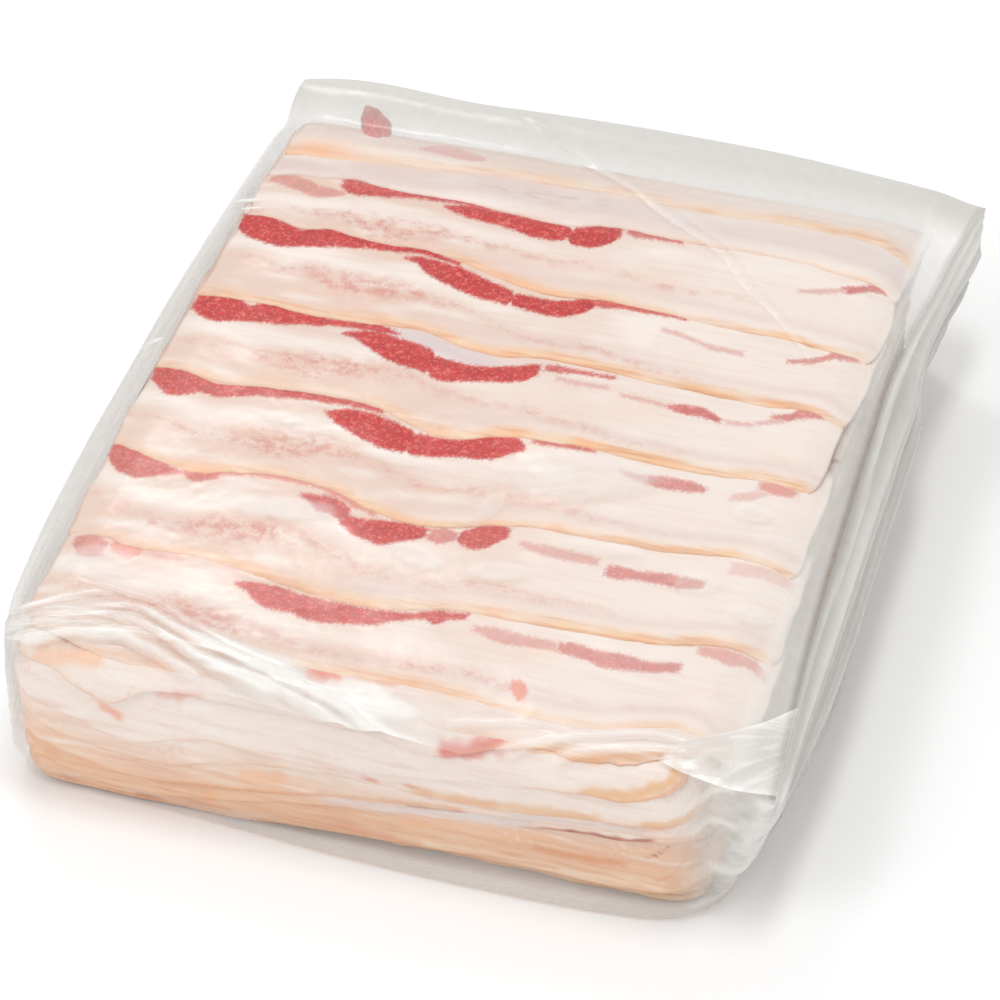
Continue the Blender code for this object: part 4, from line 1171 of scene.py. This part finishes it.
def bacon_material():
    """Cream fat, red lean mottled with paler spots, and a tan smoked edge."""
    n = Nodes("bacon")
    skin_node = n.tree.nodes.new("ShaderNodeAttribute")
    skin_node.attribute_name = "skin"
    skin = skin_node.outputs["Color"]
    mottled = n.noise(0.80, 2.0, 0.65, (1.0, 0.8, 1))
    blotches = n.noise(0.36, 2.0, 0.65)
    grain = n.noise(0.42, 2.0, 0.6, (0.08, 1, 1))

    skin = n.mix(n.math("MULTIPLY", n.between(grain, 0.48, 0.68), 0.16), skin, FAT_LINE)
    brushed = n.math("MULTIPLY", n.number("pink"), n.between(blotches, 0.42, 0.58), clamp=True)
    skin = n.mix(n.math("MULTIPLY", brushed, 0.72), skin, PINK)

    wander = n.math("MULTIPLY_ADD", n.math("SUBTRACT", mottled, 0.5), 4.2, n.number("lean"))
    inside = n.between(wander, -1.4, 1.1)
    lean = n.mix(n.between(blotches, 0.34, 0.56, 0.45, 0.0), LEAN, LEAN_DARK)
    lean = n.mix(n.math("MULTIPLY", n.between(mottled, 0.53, 0.66), 0.5), lean, LEAN_PALE)
    lean = n.mix(n.math("MULTIPLY", n.between(blotches, 0.56, 0.70), 0.45), lean, LEAN_PALE)
    lean = n.mix(n.math("MULTIPLY", n.number("orange"), 0.85), lean, ORANGE_RED)
    skin = n.mix(n.math("MULTIPLY", inside, n.number("redness"), clamp=True), skin, lean)

    toasted = n.math("MULTIPLY", n.number("smoke"), n.between(grain, 0.42, 0.66), clamp=True)
    skin = n.mix(n.math("MULTIPLY", toasted, 0.6), skin, SMOKED_DARK)

    shader = n.shader("ShaderNodeBsdfPrincipled", Base_Color=skin, Normal=n.bump(mottled, 0.25, 0.45),
                      Roughness=n.between(blotches, 0.3, 0.7, 0.36, 0.5))
    return n.finish(shader.outputs[0])


FILM_WHITE = colour(247, 245, 241)
# Grey painted into the film's milky white as shade.
FILM_SHADE_GREY = colour(196, 193, 186)


def film_material():
    """Clear film: mostly see-through, milky where it is creased or doubled and where glare of the lights is painted
    in, greyed where shade is painted in, with a soft gloss.
    """
    n = Nodes("film")
    soft = n.noise(0.15, 1.0, 0.55)
    haze = n.math("MULTIPLY", n.number("haze"), n.between(soft, 0.3, 0.7, 0.97, 1.03), clamp=True)
    tint_and_shade = n.mix(n.number("painted_shade_grey"), FILM_WHITE, FILM_SHADE_GREY)
    clear = n.shader("ShaderNodeBsdfTransparent", Color=(0.985, 0.983, 0.98, 1.0))
    milky = n.shader("ShaderNodeBsdfDiffuse", Color=tint_and_shade)
    gloss = n.shader("ShaderNodeBsdfGlossy", Color=(1.0, 1.0, 1.0, 1.0), Normal=n.bump(soft, 0.3, 0.5),
                     Roughness=n.between(soft, 0.3, 0.7, 0.18, 0.26))
    weight = n.tree.nodes.new("ShaderNodeLayerWeight")
    weight.inputs["Blend"].default_value = 0.5
    edge = n.math("POWER", weight.outputs["Facing"], 4.0)
    share = n.math("MULTIPLY_ADD", edge, 0.55, 0.02, clamp=True)
    body = n.mix_shaders(haze, clear.outputs[0], milky.outputs[0])
    return n.finish(n.mix_shaders(share, body, gloss.outputs[0]))


# ------------------------------------------------------------------ stage, light and camera

def add_floor():
    bpy.ops.mesh.primitive_plane_add(size=8.0, location=(0, 0, CAD_LOW[2] - 0.0004))
    floor = bpy.context.object
    floor.name = "floor"
    n = Nodes("floor_paint")
    shader = n.shader("ShaderNodeBsdfDiffuse", Color=(0.97, 0.97, 0.97, 1.0))
    floor.data.materials.append(n.finish(shader.outputs[0]))


def add_softbox(name, place, aim, width, height, power):
    lamp = bpy.data.lights.new(name, "AREA")
    lamp.shape = "RECTANGLE"
    lamp.size, lamp.size_y, lamp.energy = width, height, power
    holder = bpy.data.objects.new(name, lamp)
    holder.location = place
    holder.rotation_euler = (Vector(aim) - Vector(place)).to_track_quat("-Z", "Y").to_euler()
    bpy.context.scene.collection.objects.link(holder)


def add_light():
    world = bpy.data.worlds.new("studio")
    world.use_nodes = True
    background = world.node_tree.nodes["Background"]
    background.inputs["Color"].default_value = (1.0, 1.0, 1.0, 1.0)
    background.inputs["Strength"].default_value = 0.66
    bpy.context.scene.world = world
    aim = (0, 0, 0.03)
    add_softbox("back_softbox", (-0.75, 1.15, 1.65), aim, 0.5, 0.35, 6)
    add_softbox("top_softbox", (0.1, 0.0, 1.9), aim, 0.6, 0.35, 8)
    add_softbox("key_softbox", (-0.9, -0.9, 1.3), aim, 0.9, 0.9, 5.5)
    add_softbox("front_softbox", (0.2, -1.6, 0.55), aim, 1.0, 0.5, 3)
    bpy.context.scene.view_settings.view_transform = "Standard"


CAMERA_AZIMUTH, CAMERA_ELEVATION = math.radians(16.08), math.radians(40.39)
CAMERA_DISTANCE = 1.741
LENS, SENSOR = 171.6, 36.0
AIM_LEFT, AIM_DOWN = 0.00615, 0.0081


def add_camera():
    """A long lens from the front, a little to the right, looking down. It aims beside the pack's
    middle, which frames the pack as it should be with no lens shift."""
    back = Vector((math.sin(CAMERA_AZIMUTH) * math.cos(CAMERA_ELEVATION),
                   -math.cos(CAMERA_AZIMUTH) * math.cos(CAMERA_ELEVATION),
                   math.sin(CAMERA_ELEVATION)))
    right = (-back).cross(Vector((0, 0, 1))).normalized()
    up = right.cross(-back)
    middle = Vector((BLOCK_MIDDLE[0], BLOCK_MIDDLE[1], 0.037))
    aim = middle - right * AIM_LEFT - up * AIM_DOWN
    camera = bpy.data.cameras.new("camera")
    camera.lens, camera.sensor_width = LENS, SENSOR
    holder = bpy.data.objects.new("camera", camera)
    holder.location = middle + back * CAMERA_DISTANCE
    holder.rotation_euler = (aim - holder.location).to_track_quat("-Z", "Y").to_euler()
    bpy.context.scene.collection.objects.link(holder)
    bpy.context.scene.camera = holder


# ------------------------------------------------------------------ putting it together

BACON = bacon_material()
SLICES = [top_slice(number, BACON) for number in range(1, 10)]
SLICES += [hanging_sheet(index, BACON) for index in range(len(HANGING))]
SLICES += lower_layers(BACON)
SLICES.append(back_scrap(BACON))
for piece in SLICES:
    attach(piece, "root")
    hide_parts("bacon_bag")

FILM = film_material()
for piece in (film_top(FILM), film_sides(FILM), film_flap(FILM)):
    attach(piece, "root")
    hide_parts("bacon_bag")

add_floor()
add_light()
add_camera()
